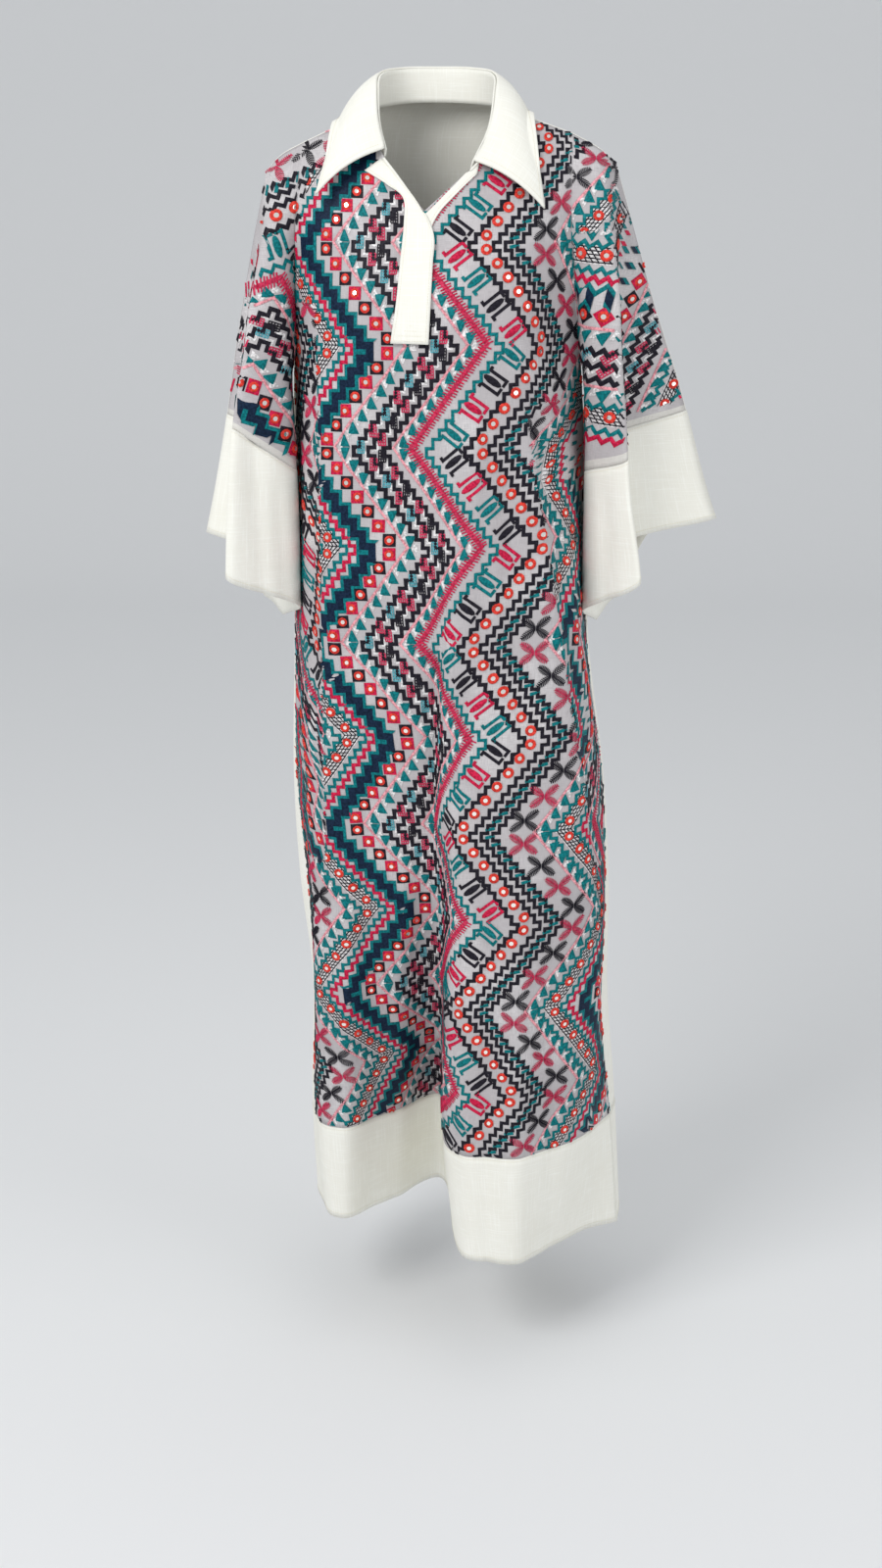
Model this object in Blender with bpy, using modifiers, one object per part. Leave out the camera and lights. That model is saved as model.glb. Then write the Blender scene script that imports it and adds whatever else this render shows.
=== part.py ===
"""A long kimono-cut kaftan, worn and hanging, built from the pieces a maker would cut.

Metres, +Z up. The origin lies midway between the shoulders, at the height where the neck meets them,
and the front faces -Y. Image-left and image-right pieces are named _l and _r, with +X to the right.
The front and back panels are each one piece with their half of both sleeves: the cloth falls from the
shoulder seam, and a slit from the underarm point parts the body from each sleeve. Each wall is worked out
from level sections, smooth curves through a few named points that move as the cloth drops.
"""
import bpy
import numpy as np
from mathutils import Vector
from mathutils.bvhtree import BVHTree

MM = 0.001
WALL = 0.0016            # embroidered voile, linen back
BAND_WALL = 0.0020       # doubled linen of hem, cuffs, collar and placket
SEAM = 0.0003            # gap between pieces
YOKE_DROP = 0.12         # where the shoulders' curve passes into the hanging sections
UNDERARM_DROP = 0.23     # where side seam and underarm seam meet
HEM_SEAM_DROP = 1.127    # top of the hem band at the middle
HEM_DROP = 1.259         # bottom of the hem band at the middle
HEM_TILT = 0.03          # the hem hangs this much lower per metre towards +X
SEAM_TILT = -0.04        # and the band's seam this much
CLEAR = 0.0005           # what lies on a panel keeps this distance to it
FALL_CLEAR = 0.0060      # the collar's fall lies this far over the cloth
FALL_NEAR = 0.030        # wherever it is nearer to the cloth than this
FRONT_LEAN, BACK_LEAN = (0.0, -0.85, -0.42), (0.0, 0.95, 0.22)   # how the cloth leaves the shoulder seam
HOLD_FROM, HOLD_OVER = 0.052, 0.030     # the front leans so from this distance aside, growing over the next
JUST_BELOW = 0.010       # the hanging sections' slope is taken over this drop
FALL_RISE, FALL_BULGE = 0.012, 0.010    # the fold of the collar's fall stands this far up and out

SHOULDER_STEPS = 5       # columns on each shoulder, from the neck point to over the underarm
YOKE_ROWS, CHEST_ROWS, SKIRT_ROWS, SLEEVE_ROWS, CUFF_ROWS, HEM_ROWS = 4, 4, 22, 3, 4, 3

# Level sections in millimetres: the drop, then x and y of each named point of the front:
#    left seam, left edge, left middle, centre, ridge, right of front, right edge, right seam.
FRONT_STEPS = (3, 4, 6, 6, 3, 5, 4)
FRONT_SECTIONS = (
    (120, (-148, -45), (-122, -66), (-70, -90), (-13, -100), (20, -100), (60, -94), (100, -82), (140, -52)),
    (180, (-149, -40), (-126, -74), (-75, -105), (-16, -116), (18, -119), (50, -117), (88, -104), (146, -44)),
    (230, (-149, -28), (-126, -78), (-75, -108), (-18, -120), (15, -124), (45, -123), (83, -113), (150, -30)),
    (360, (-152, 4), (-129, -78), (-70, -110), (-15, -119), (18, -125), (52, -126), (116, -103), (159, -2)),
    (560, (-157, 18), (-130, -76), (-70, -104), (-8, -112), (28, -122), (75, -126), (143, -98), (165, 12)),
    (720, (-157, 16), (-131, -62), (-72, -88), (-4, -94), (25, -118), (88, -127), (158, -104), (186, 14)),
    (840, (-145, 0), (-132, -48), (-75, -66), (0, -60), (22, -110), (86, -124), (172, -88), (189, -10)),
    (960, (-140, 6), (-134, -30), (-78, -42), (0, -15), (18, -100), (80, -121), (178, -66), (185, -26)),
    (1110, (-144, 26), (-134, 0), (-88, -4), (0, 70), (14, -84), (62, -113), (170, -58), (200, -2)),
    (1270, (-134, 40), (-126, 16), (-85, 30), (2, 126), (34, -88), (70, -102), (152, -32), (214, 14)),
)
# The back's: right seam, right side, right blade, centre, left blade, left side, left seam.
BACK_STEPS = (3, 4, 5, 5, 4, 3)
BACK_SECTIONS = (
    (120, (142, 50), (122, 68), (78, 88), (0, 88), (-80, 86), (-128, 66), (-148, 45)),
    (180, (147, 15), (141, 54), (86, 98), (0, 97), (-88, 96), (-143, 54), (-150, 10)),
    (230, (150, -30), (146, 42), (90, 104), (0, 103), (-90, 102), (-149, 42), (-149, -28)),
    (360, (159, -2), (159, 50), (95, 110), (0, 110), (-95, 108), (-155, 50), (-152, 4)),
    (560, (165, 12), (166, 56), (100, 120), (0, 120), (-100, 118), (-157, 58), (-157, 18)),
    (720, (186, 14), (186, 58), (105, 132), (0, 128), (-100, 130), (-162, 56), (-157, 16)),
    (840, (189, -10), (194, 40), (110, 140), (0, 136), (-100, 142), (-157, 56), (-145, 0)),
    (960, (185, -26), (195, 40), (115, 150), (0, 145), (-100, 155), (-144, 60), (-140, 6)),
    (1110, (200, -2), (207, 60), (125, 165), (0, 158), (-100, 172), (-148, 80), (-144, 26)),
    (1270, (214, 14), (216, 75), (130, 180), (0, 170), (-100, 190), (-144, 92), (-134, 40)),
)
# The largest soft folds of the panels: place and half width in named points, the drops between which the
# fold grows, and how far it stands out (or in, below zero) at the hem, in millimetres.
FRONT_FOLDS = (
    ("upper right fold", 5.55, 0.45, 300, 900, 7),
    ("left fold", 1.45, 0.40, 500, 1150, 9),
    ("right hollow", 6.30, 0.35, 620, 1150, -8),
)
BACK_FOLDS = (
    ("right hollow", 1.60, 0.45, 250, 1200, -16),
    ("right fold", 2.35, 0.40, 300, 1150, 15),
    ("middle hollow", 3.05, 0.42, 320, 1250, -20),
    ("left fold", 3.80, 0.40, 420, 1200, 17),
    ("left hollow", 4.60, 0.40, 350, 1250, -15),
)
# The sleeves' sections, x outwards: inner, lap, flap, tuck, over, back outer, back inner. The front half lies
# in one long fold, the flap.
SLEEVE_STEPS = (2, 4, 3, 3, 3, 3, 2)   # the last part runs back to the inner point
SLEEVE_R = (
    (120, (140, -52), (155, -62), (180, -66), (188, -45), (210, 0), (195, 35), (165, 58)),
    (180, (146, -44), (158, -64), (187, -76), (183, -46), (228, 0), (212, 40), (180, 52)),
    (230, (150, -30), (159, -62), (190, -80), (180, -44), (245, 0), (226, 42), (190, 46)),
    (255, (158, -20), (159, -60), (192, -81), (180, -43), (254, 0), (230, 42), (193, 46)),
    (300, (165, -8), (160, -56), (196, -83), (181, -42), (268, 0), (234, 42), (197, 48)),
    (380, (171, 0), (160, -50), (202, -84), (184, -40), (291, 0), (238, 46), (200, 54)),
    (460, (175, 5), (160, -46), (214, -84), (190, -38), (319, 0), (240, 48), (200, 60)),
    (540, (177, 8), (161, -44), (219, -84), (194, -36), (340, 0), (244, 50), (203, 62)),
)
SLEEVE_L = (
    (120, (148, -45), (158, -55), (178, -60), (184, -40), (193, 0), (184, 34), (165, 56)),
    (180, (149, -40), (160, -62), (192, -72), (184, -44), (205, 0), (196, 36), (176, 50)),
    (230, (149, -28), (160, -64), (199, -78), (184, -46), (214, 0), (204, 38), (184, 44)),
    (255, (157, -18), (159, -62), (204, -80), (185, -46), (218, 0), (208, 39), (186, 44)),
    (300, (162, -8), (156, -58), (212, -82), (186, -46), (225, 0), (213, 42), (188, 46)),
    (380, (167, 0), (152, -54), (219, -84), (190, -44), (240, 0), (222, 46), (190, 52)),
    (460, (170, 5), (151, -50), (223, -84), (196, -40), (257, 0), (232, 42), (192, 58)),
    (540, (172, 8), (151, -48), (224, -84), (200, -38), (268, 0), (240, 44), (196, 60)),
)
# Drop of the cuff's seam and of its lower edge at each of the sleeve's points.
CUFF_SEAM_R = (366, 356, 341, 322, 298, 318, 362)
CUFF_EDGE_R = (530, 508, 472, 440, 416, 434, 514)
CUFF_SEAM_L = (364, 354, 308, 312, 302, 312, 360)
CUFF_EDGE_L = (524, 503, 466, 446, 431, 440, 514)
BACK_VALLEY_R = {120: (142, 50), 180: (147, 15)}
BACK_VALLEY_L = {120: (148, 45), 180: (150, 10)}

# The panels' top edge in millimetres (x, y, z), from the bottom of the V opening to the shoulder's bend.
EDGE_R = ((-13, -88, -87), (18, -73, -60), (46, -56, -34), (62, -28, -4), (69, -6, 11), (105, -10, 0),
          (140, -11, -12), (168, -10, -27), (187, -6, -42))
EDGE_L = ((-13, -88, -87), (-34, -73, -60), (-54, -56, -34), (-66, -28, -6), (-71, -6, 10), (-105, -10, -6),
          (-140, -11, -22), (-162, -10, -34), (-178, -6, -50))
# Which of those points is the collar's end, the neck point and the valley over the underarm.
EDGE_CORNER, EDGE_NECK, EDGE_VALLEY = 2, 4, 6
BACK_NECK = ((69, -6, 11), (56, 30, 17), (30, 52, 20), (0, 58, 21), (-30, 52, 20), (-57, 30, 16),
             (-71, -6, 10))

# The collar, from its image-left end round the back to its image-right end, in millimetres.
ROLL = ((-53, -58, -26), (-60, -42, 0), (-62, -18, 30), (-60, 10, 48), (-36, 52, 55), (0, 64, 56),
        (36, 52, 55), (60, 10, 48), (60, -18, 30), (54, -44, -4), (37, -66, -38))
FALL = ((-123, -80, -71), (-117, -58, -48), (-109, -25, -20), (-100, 12, 0), (-66, 78, 4), (0, 100, 2),
        (64, 78, 6), (94, 12, 6), (99, -22, -12), (104, -54, -44), (109, -82, -85))
COLLAR_END_R = (35, -63, -45)   # the collar's image-right end, a little further down the V
STAND_ROWS, FALL_ROWS, COLLAR_STEPS = 2, 7, 44

# The placket's two edges from the collar's end to its foot: x and drop in millimetres.
PLACKET_OUTER = ((-73, 49), (-52, 62), (-34, 76), (-33, 100), (-37, 140), (-41, 180), (-45, 217))
PLACKET_INNER = ((-53, 35), (-32, 62), (-13, 90), (-3, 112), (-4, 140), (-6, 180), (-8, 218))
UNDER_OUTER = ((40, 52), (20, 71), (2, 90), (-6, 106), (-7, 140), (-9, 180), (-11, 216))
UNDER_INNER = ((43, 37), (18, 62), (-9, 88), (-31, 106), (-33, 140), (-37, 180), (-41, 215))
PLACKET_ROWS, PLACKET_COLS = 16, 3

VOILE = (0.62, 0.58, 0.60, 1.0)
LINEN = (0.86, 0.82, 0.70, 1.0)


def curve(points, at):
    """Reads a smooth curve through points (..., n, d) at the places at, counted in points from 0 to n - 1."""
    points = np.asarray(points, float)
    chord = np.linalg.norm(np.diff(points, axis=-2), axis=-1) ** 0.5 + 1e-9
    step = np.diff(points, axis=-2) / chord[..., None]
    before, after = chord[..., :-1, None], chord[..., 1:, None]
    inside = (step[..., :-1, :] * after + step[..., 1:, :] * before) / (before + after)
    slope = np.concatenate([step[..., :1, :], inside, step[..., -1:, :]], axis=-2)
    at = np.clip(np.asarray(at, float), 0.0, points.shape[-2] - 1)
    i = np.minimum(at.astype(int), points.shape[-2] - 2)
    t = (at - i)[:, None]
    span = chord[..., i][..., None]
    start, end = points[..., i, :], points[..., i + 1, :]
    return (
        start * (2 * t**3 - 3 * t**2 + 1)
        + end * (3 * t**2 - 2 * t**3)
        + slope[..., i, :] * span * (t**3 - 2 * t**2 + t)
        + slope[..., i + 1, :] * span * (t**3 - t**2)
    )


def columns(steps):
    """Places along the named points, with steps[k] equal parts between points k and k + 1."""
    parts = [np.arange(n) / n + k for k, n in enumerate(steps)]
    return np.append(np.concatenate(parts), len(steps))


def down_table(rows, drop):
    """The named points of a table of sections at each drop: (m, n, 2). The rows above the underarm and those
    below it are two smooth runs, so that the panels' seams below agree whatever they do above."""
    split = UNDERARM_DROP / MM
    above = smooth_rows([row for row in rows if row[0] <= split + 0.5], drop)
    below = smooth_rows([row for row in rows if row[0] >= split - 0.5], drop)
    return np.where(np.asarray(drop, float)[:, None, None] > UNDERARM_DROP, below, above)


def smooth_rows(rows, drop):
    """The points of a run of sections, smoothly between its rows, at each drop."""
    drops = np.array([row[0] for row in rows], float) * MM
    points = np.array([row[1:] for row in rows], float) * MM
    slopes = np.gradient(points, drops, axis=0)
    drop = np.clip(np.asarray(drop, float), drops[0], drops[-1])
    i = np.clip(np.searchsorted(drops, drop) - 1, 0, len(drops) - 2)
    span = (drops[i + 1] - drops[i])[:, None, None]
    t = ((drop - drops[i]) / (drops[i + 1] - drops[i]))[:, None, None]
    return (
        points[i] * (2 * t**3 - 3 * t**2 + 1)
        + points[i + 1] * (3 * t**2 - 2 * t**3)
        + slopes[i] * span * (t**3 - 2 * t**2 + t)
        + slopes[i + 1] * span * (t**3 - t**2)
    )


def hang(rows, at, drops, folds=(), front=1.0):
    """Points of the hanging cloth: drops is (rows, columns), at the column's place along the section."""
    drops = np.asarray(drops, float)
    grid = np.empty(drops.shape + (3,))
    for k, place in enumerate(at):
        grid[:, k, :2] = curve(down_table(rows, drops[:, k]), [place])[:, 0]
        grid[:, k, 2] = -drops[:, k]
    for _, place, half_width, start, full, depth in folds:
        across = np.clip(1.0 - ((at - place) / (2.0 * half_width)) ** 2, 0.0, 1.0) ** 2
        grown = np.clip((drops / MM - start) / (full - start), 0.0, 1.0)
        grid[:, :, 1] -= front * depth * MM * across * grown**2 * (3 - 2 * grown)
    return grid


def halves(rows, sign, valley=None):
    """A sleeve's sections turned to its side: its front half, underarm seam to overarm line, and its back
    half, overarm line to underarm seam, whose inner end may follow its own valley."""
    front, back = [], []
    for drop, *points in rows:
        points = [(sign * x, y) for x, y in points]
        inner = points[0]
        if valley is not None and drop in valley:
            inner = (sign * valley[drop][0], valley[drop][1])
        front.append((drop, *points[:5]))
        back.append((drop, *points[4:], inner))
    return tuple(front), tuple(back)


def levels(start, end, rows):
    """Drops from start to end, which may differ from column to column: (rows + 1, columns)."""
    t = np.linspace(0.0, 1.0, rows + 1)[:, None]
    return np.asarray(start, float) * (1 - t) + np.asarray(end, float) * t


def yoke(top, rows, at, lean, hold):
    """From the top edge down to the hanging sections, leaning out by lean where hold is 1."""
    low = hang(rows, at, np.full((1, len(at)), YOKE_DROP))[0]
    below = hang(rows, at, np.full((1, len(at)), YOKE_DROP + JUST_BELOW))[0]
    reach = np.linalg.norm(low - top, axis=1, keepdims=True)
    chord = (low - top) / reach
    lean = np.array(lean, float) / np.linalg.norm(lean)
    start = chord * (1 - hold[:, None]) + lean * hold[:, None]
    end = (below - low) / JUST_BELOW
    end = end / np.linalg.norm(end, axis=1, keepdims=True)
    t = np.linspace(0.0, 1.0, YOKE_ROWS + 1)[:, None, None]
    return (
        top * (2 * t**3 - 3 * t**2 + 1)
        + low * (3 * t**2 - 2 * t**3)
        + start * reach * (t**3 - 2 * t**2 + t)
        + end * reach * (t**3 - t**2)
    )


def even(points, count):
    """count + 1 points evenly spaced along the smooth curve through points."""
    fine = curve(np.array(points, float) * MM, np.linspace(0, len(points) - 1, 40 * len(points)))
    run = np.append(0.0, np.cumsum(np.linalg.norm(np.diff(fine, axis=0), axis=1)))
    want = np.linspace(0.0, run[-1], count + 1)
    return np.stack([np.interp(want, run, fine[:, k]) for k in range(3)], axis=1)


class Sheet:
    """Points and faces of one open cloth surface, its faces turned outwards."""

    def __init__(self):
        self.points = []
        self.faces = []

    def add(self, grid):
        index = np.arange(grid.shape[0] * grid.shape[1]).reshape(grid.shape[:2]) + len(self.points)
        self.points.extend(grid.reshape(-1, 3))
        return index

    def quads(self, index):
        """Faces over a grid of point numbers whose rows run down and columns run to the viewer's right."""
        for r in range(index.shape[0] - 1):
            for c in range(index.shape[1] - 1):
                self.faces.append((index[r, c], index[r + 1, c], index[r + 1, c + 1], index[r, c + 1]))

    def grid(self, grid):
        index = self.add(grid)
        self.quads(index)
        return index

    def pull_in(self, here, inner, gap=SEAM / 2):
        """Moves edge points towards their neighbours inside, to leave half the seam's gap."""
        for a, b in zip(np.ravel(here), np.ravel(inner)):
            way = self.points[b] - self.points[a]
            self.points[a] = self.points[a] + way / np.linalg.norm(way) * gap


def solid(name, sheet, wall, material):
    """The surface, thickened outwards, as a named object in the kaftan's collection."""
    mesh = bpy.data.meshes.new(name)
    mesh.from_pydata([tuple(p) for p in sheet.points], [], [tuple(int(i) for i in f) for f in sheet.faces])
    mesh.materials.append(material)
    mesh.shade_smooth()
    thing = bpy.data.objects.new(name, mesh)
    kaftan.objects.link(thing)
    thicken = thing.modifiers.new("Wall", "SOLIDIFY")
    thicken.thickness = wall
    thicken.offset = 1.0
    thicken.use_even_offset = False


def cloth_material(name, colour):
    material = bpy.data.materials.new(name)
    material.use_nodes = True
    shader = material.node_tree.nodes["Principled BSDF"]
    shader.inputs["Base Color"].default_value = colour
    shader.inputs["Roughness"].default_value = 0.9
    shader.inputs["Metallic"].default_value = 0.0
    return material


def top_columns(edge, body_steps, sleeve_steps):
    """Points on the top edge: from the V's tip by the neck point to the valley, and over the sleeve."""
    neck = even(edge[: EDGE_NECK + 1], body_steps - SHOULDER_STEPS)
    shoulder = even(edge[EDGE_NECK : EDGE_VALLEY + 1], SHOULDER_STEPS)
    return np.concatenate([neck, shoulder[1:]]), even(edge[EDGE_VALLEY:], sleeve_steps)


def panel(name, sections, steps, folds, sleeves, top, lean, hold, material):
    """The front or back panel: sleeve, body and sleeve above the underarms, three tongues below.

    sleeves holds, for the viewer's left and right, its sections, places, and the drops of the cuff's seam.
    """
    body_at = columns(steps)
    left, right = sleeves
    parts = ((left["rows"], left["at"]), (sections, body_at), (right["rows"], right["at"]))
    cuts = np.cumsum([0, len(left["at"]) - 1, len(body_at) - 1, len(right["at"]) - 1])
    upper = []
    for part, (rows, at) in enumerate(parts):
        span = slice(cuts[part], cuts[part + 1] + 1)
        shoulder = yoke(top[span], rows, at, lean, hold[span])
        chest = hang(rows, at, levels(YOKE_DROP, np.full(len(at), UNDERARM_DROP), CHEST_ROWS))
        block = np.concatenate([shoulder, chest[1:]], axis=0)
        upper.append(block if part == 0 else block[:, 1:])
    sheet = Sheet()
    index = sheet.grid(np.concatenate(upper, axis=1))
    seam = HEM_SEAM_DROP + SEAM_TILT * curve(down_table(sections, [HEM_SEAM_DROP]), body_at)[0, :, 0]
    skirt = hang(sections, body_at, levels(UNDERARM_DROP, seam, SKIRT_ROWS), *folds)
    body = np.vstack([index[-1:, cuts[1] : cuts[2] + 1], sheet.add(skirt[1:])])
    sheet.quads(body)
    ends = []
    for side, span in ((left, slice(0, cuts[1] + 1)), (right, slice(cuts[2], cuts[3] + 1))):
        sleeve = hang(side["rows"], side["at"], levels(UNDERARM_DROP, side["seam"], SLEEVE_ROWS))
        ends.append(np.vstack([index[-1:, span], sheet.add(sleeve[1:])]))
        sheet.quads(ends[-1])
    sheet.pull_in(index[0], index[1])
    sheet.pull_in(np.append(index[1:, 0], ends[0][1:, 0]), np.append(index[1:, 1], ends[0][1:, 1]))
    sheet.pull_in(np.append(index[1:, -1], ends[1][1:, -1]), np.append(index[1:, -2], ends[1][1:, -2]))
    sheet.pull_in(body[1:, 0], body[1:, 1])
    sheet.pull_in(body[1:, -1], body[1:, -2])
    sheet.pull_in(ends[0][1:, -1], ends[0][1:, -2])
    sheet.pull_in(ends[1][1:, 0], ends[1][1:, 1])
    sheet.pull_in(body[-1], body[-2])
    sheet.pull_in(ends[0][-1], ends[0][-2])
    sheet.pull_in(ends[1][-1], ends[1][-2])
    solid(name, sheet, WALL, material)
    return sheet


def hem(name, sections, steps, folds, material):
    """The band under the front or back panel."""
    at = columns(steps)
    x = curve(down_table(sections, [HEM_SEAM_DROP]), at)[0, :, 0]
    drops = levels(HEM_SEAM_DROP + SEAM_TILT * x + SEAM / 2, HEM_DROP + HEM_TILT * x, HEM_ROWS)
    sheet = Sheet()
    index = sheet.grid(hang(sections, at, drops, *folds))
    sheet.pull_in(index[:, 0], index[:, 1])
    sheet.pull_in(index[:, -1], index[:, -2])
    solid(name, sheet, BAND_WALL, material)


def cuff(name, rows, sign, seam, edge, material):
    """The band round one sleeve's end: one loop, folded sharply at the overarm and at the underarm."""
    front_half, back_half = halves(rows, sign)
    grids = []
    for half, at, order in (
        (front_half, columns(SLEEVE_STEPS[:4]), (0, 1, 2, 3, 4)),
        (back_half, columns(SLEEVE_STEPS[4:]), (4, 5, 6, 0)),
    ):
        start = curve(np.array([seam[k] for k in order], float)[:, None] * MM, at)[:, 0] + SEAM
        end = curve(np.array([edge[k] for k in order], float)[:, None] * MM, at)[:, 0]
        grids.append(hang(half, at, levels(start, end, CUFF_ROWS))[:, :-1])
    grid = np.concatenate(grids, axis=1)
    sheet = Sheet()
    index = sheet.add(grid if sign > 0 else grid[:, ::-1])
    sheet.quads(np.hstack([index, index[:, :1]]))
    solid(name, sheet, BAND_WALL, material)


def on_panel(x, z, lift):
    """The point of the front panel at x, z as seen from the front, moved out by lift."""
    hit, normal, _, _ = front_tree.ray_cast(Vector((x, -1.0, z)), Vector((0.0, 1.0, 0.0)))
    if hit is None:
        hit, normal, _, _ = front_tree.find_nearest(Vector((x, -0.08, z)))
        hit = Vector((x, hit.y, z))
    return np.array(hit + normal * lift)


def strip(name, left, right, lift_top, lift, material):
    """A band on the front panel between two edges of x and drop, from its upper end to its foot."""
    rows = np.linspace(0.0, len(left) - 1, PLACKET_ROWS + 1)
    a = curve(np.array(left, float) * MM, rows)
    b = curve(np.array(right, float) * MM, rows)
    rise = np.clip(rows / 2.0, 0.0, 1.0) * (lift - lift_top) + lift_top
    t = np.linspace(0.0, 1.0, PLACKET_COLS + 1)
    grid = np.array([
        [on_panel(*(a[r] * (1 - s) + b[r] * s) * (1, -1), rise[r]) for s in t] for r in range(len(rows))
    ])
    sheet = Sheet()
    sheet.grid(grid)
    solid(name, sheet, BAND_WALL, material)


for old in list(bpy.data.objects):
    bpy.data.objects.remove(old, do_unlink=True)
kaftan = bpy.data.collections.new("Kaftan")
bpy.context.scene.collection.children.link(kaftan)
voile = cloth_material("Embroidered voile", VOILE)
linen = cloth_material("Cream linen", LINEN)

# The front panel with the front halves of both sleeves.
front_at = columns(SLEEVE_STEPS[:4])
half = sum(FRONT_STEPS[:3])
body_l, arm_l = top_columns(EDGE_L, half, len(front_at) - 1)
body_r, arm_r = top_columns(EDGE_R, sum(FRONT_STEPS) - half, len(front_at) - 1)
front_top = np.concatenate([arm_l[::-1], body_l[::-1][1:], body_r[1:], arm_r[1:]])
front_hold = np.clip((np.abs(front_top[:, 0]) - HOLD_FROM) / HOLD_OVER, 0.0, 1.0)
front_sleeves = (
    {"rows": halves(SLEEVE_L, -1)[0], "at": front_at[::-1],
     "seam": curve(np.array(CUFF_SEAM_L[:5], float)[:, None] * MM, front_at[::-1])[:, 0]},
    {"rows": halves(SLEEVE_R, 1)[0], "at": front_at,
     "seam": curve(np.array(CUFF_SEAM_R[:5], float)[:, None] * MM, front_at)[:, 0]},
)
front_sheet = panel(
    "front", FRONT_SECTIONS, FRONT_STEPS, (FRONT_FOLDS, 1.0), front_sleeves, front_top, FRONT_LEAN,
    front_hold, voile
)
front_tree = BVHTree.FromPolygons(
    [tuple(p) for p in front_sheet.points], [tuple(int(i) for i in f) for f in front_sheet.faces]
)

# The back panel with the back halves, its columns running from +X to -X as seen from behind.
back_at = columns(SLEEVE_STEPS[4:])
back_neck = even(BACK_NECK, sum(BACK_STEPS) - 2 * SHOULDER_STEPS)
back_body_r, back_arm_r = top_columns(EDGE_R, 2 * SHOULDER_STEPS, len(back_at) - 1)
back_body_l, back_arm_l = top_columns(EDGE_L, 2 * SHOULDER_STEPS, len(back_at) - 1)
back_top = np.concatenate([
    back_arm_r[::-1], back_body_r[SHOULDER_STEPS:][::-1][1:], back_neck[1:],
    back_body_l[SHOULDER_STEPS + 1 :], back_arm_l[1:]
])
back_hold = np.ones(len(back_top))


def back_seam(seam):
    """Drops of the cuff's seam over the back half, from the overarm line to the underarm seam."""
    return curve(np.array([seam[4], seam[5], seam[6], seam[0]], float)[:, None] * MM, back_at)[:, 0]


back_sleeves = (
    {"rows": halves(SLEEVE_R, 1, BACK_VALLEY_R)[1], "at": back_at, "seam": back_seam(CUFF_SEAM_R)},
    {"rows": halves(SLEEVE_L, -1, BACK_VALLEY_L)[1], "at": back_at[::-1],
     "seam": back_seam(CUFF_SEAM_L)[::-1]},
)
back_sheet = panel(
    "back", BACK_SECTIONS, BACK_STEPS, (BACK_FOLDS, -1.0), back_sleeves, back_top, BACK_LEAN, back_hold, linen
)

hem("hem_front", FRONT_SECTIONS, FRONT_STEPS, (FRONT_FOLDS, 1.0), linen)
hem("hem_back", BACK_SECTIONS, BACK_STEPS, (BACK_FOLDS, -1.0), linen)
cuff("cuff_l", SLEEVE_L, -1, CUFF_SEAM_L, CUFF_EDGE_L, linen)
cuff("cuff_r", SLEEVE_R, 1, CUFF_SEAM_R, CUFF_EDGE_R, linen)

# The placket: its lower layer with the strip along the image-right side of the V, then its upper layer.
strip("placket_under", UNDER_INNER, UNDER_OUTER, WALL + CLEAR, WALL + CLEAR, linen)
strip("placket", PLACKET_OUTER, PLACKET_INNER, WALL + CLEAR, WALL + BAND_WALL + 2 * CLEAR, linen)

# The collar: a stand inside the neck's edge and a fall that rolls over it.
neck = (*EDGE_L[EDGE_CORNER:EDGE_NECK], *BACK_NECK[::-1], *EDGE_R[EDGE_CORNER:EDGE_NECK][::-1], COLLAR_END_R)
neck_line = even(neck, COLLAR_STEPS)
roll_line = even(ROLL, COLLAR_STEPS)
fall_line = even(FALL, COLLAR_STEPS)
middle = np.array([-0.002, -0.002, 0.0])
inwards = middle - neck_line
inwards[:, 2] = 0.0
inwards = inwards / np.linalg.norm(inwards, axis=1, keepdims=True)
foot = neck_line + inwards * (BAND_WALL + CLEAR)
crest = roll_line + inwards * (BAND_WALL + CLEAR) - np.array([0.0, 0.0, SEAM])
t = np.linspace(0.0, 1.0, STAND_ROWS + 1)[:, None, None]
stand = Sheet()
stand.grid((crest * (1 - t) + foot * t)[:, ::-1])
solid("collar_stand", stand, BAND_WALL, linen)

panel_tree = BVHTree.FromPolygons(
    [tuple(p) for p in front_sheet.points] + [tuple(p) for p in back_sheet.points],
    [tuple(int(i) for i in f) for f in front_sheet.faces]
    + [tuple(int(i) + len(front_sheet.points) for i in f) for f in back_sheet.faces],
)
t = np.linspace(0.0, 1.0, FALL_ROWS + 1)[:, None, None]
rise = np.array([0.0, 0.0, FALL_RISE]) - inwards * FALL_BULGE
halfway = (roll_line + fall_line) / 2 + rise
fall_grid = roll_line * (1 - t) ** 2 + halfway * 2 * t * (1 - t) + fall_line * t**2
for r in range(fall_grid.shape[0]):
    for c in range(fall_grid.shape[1]):
        point = Vector(fall_grid[r, c])
        near, normal, _, _ = panel_tree.find_nearest(point)
        above = (point - near).dot(normal)
        if (point - near).length < FALL_NEAR and above < FALL_CLEAR:
            fall_grid[r, c] = point + normal * (FALL_CLEAR - above)
fall = Sheet()
fall.grid(fall_grid[:, ::-1])
solid("collar_fall", fall, BAND_WALL, linen)
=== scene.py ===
import math
import bpy
import numpy as np
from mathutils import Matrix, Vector
from mathutils.bvhtree import BVHTree


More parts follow.
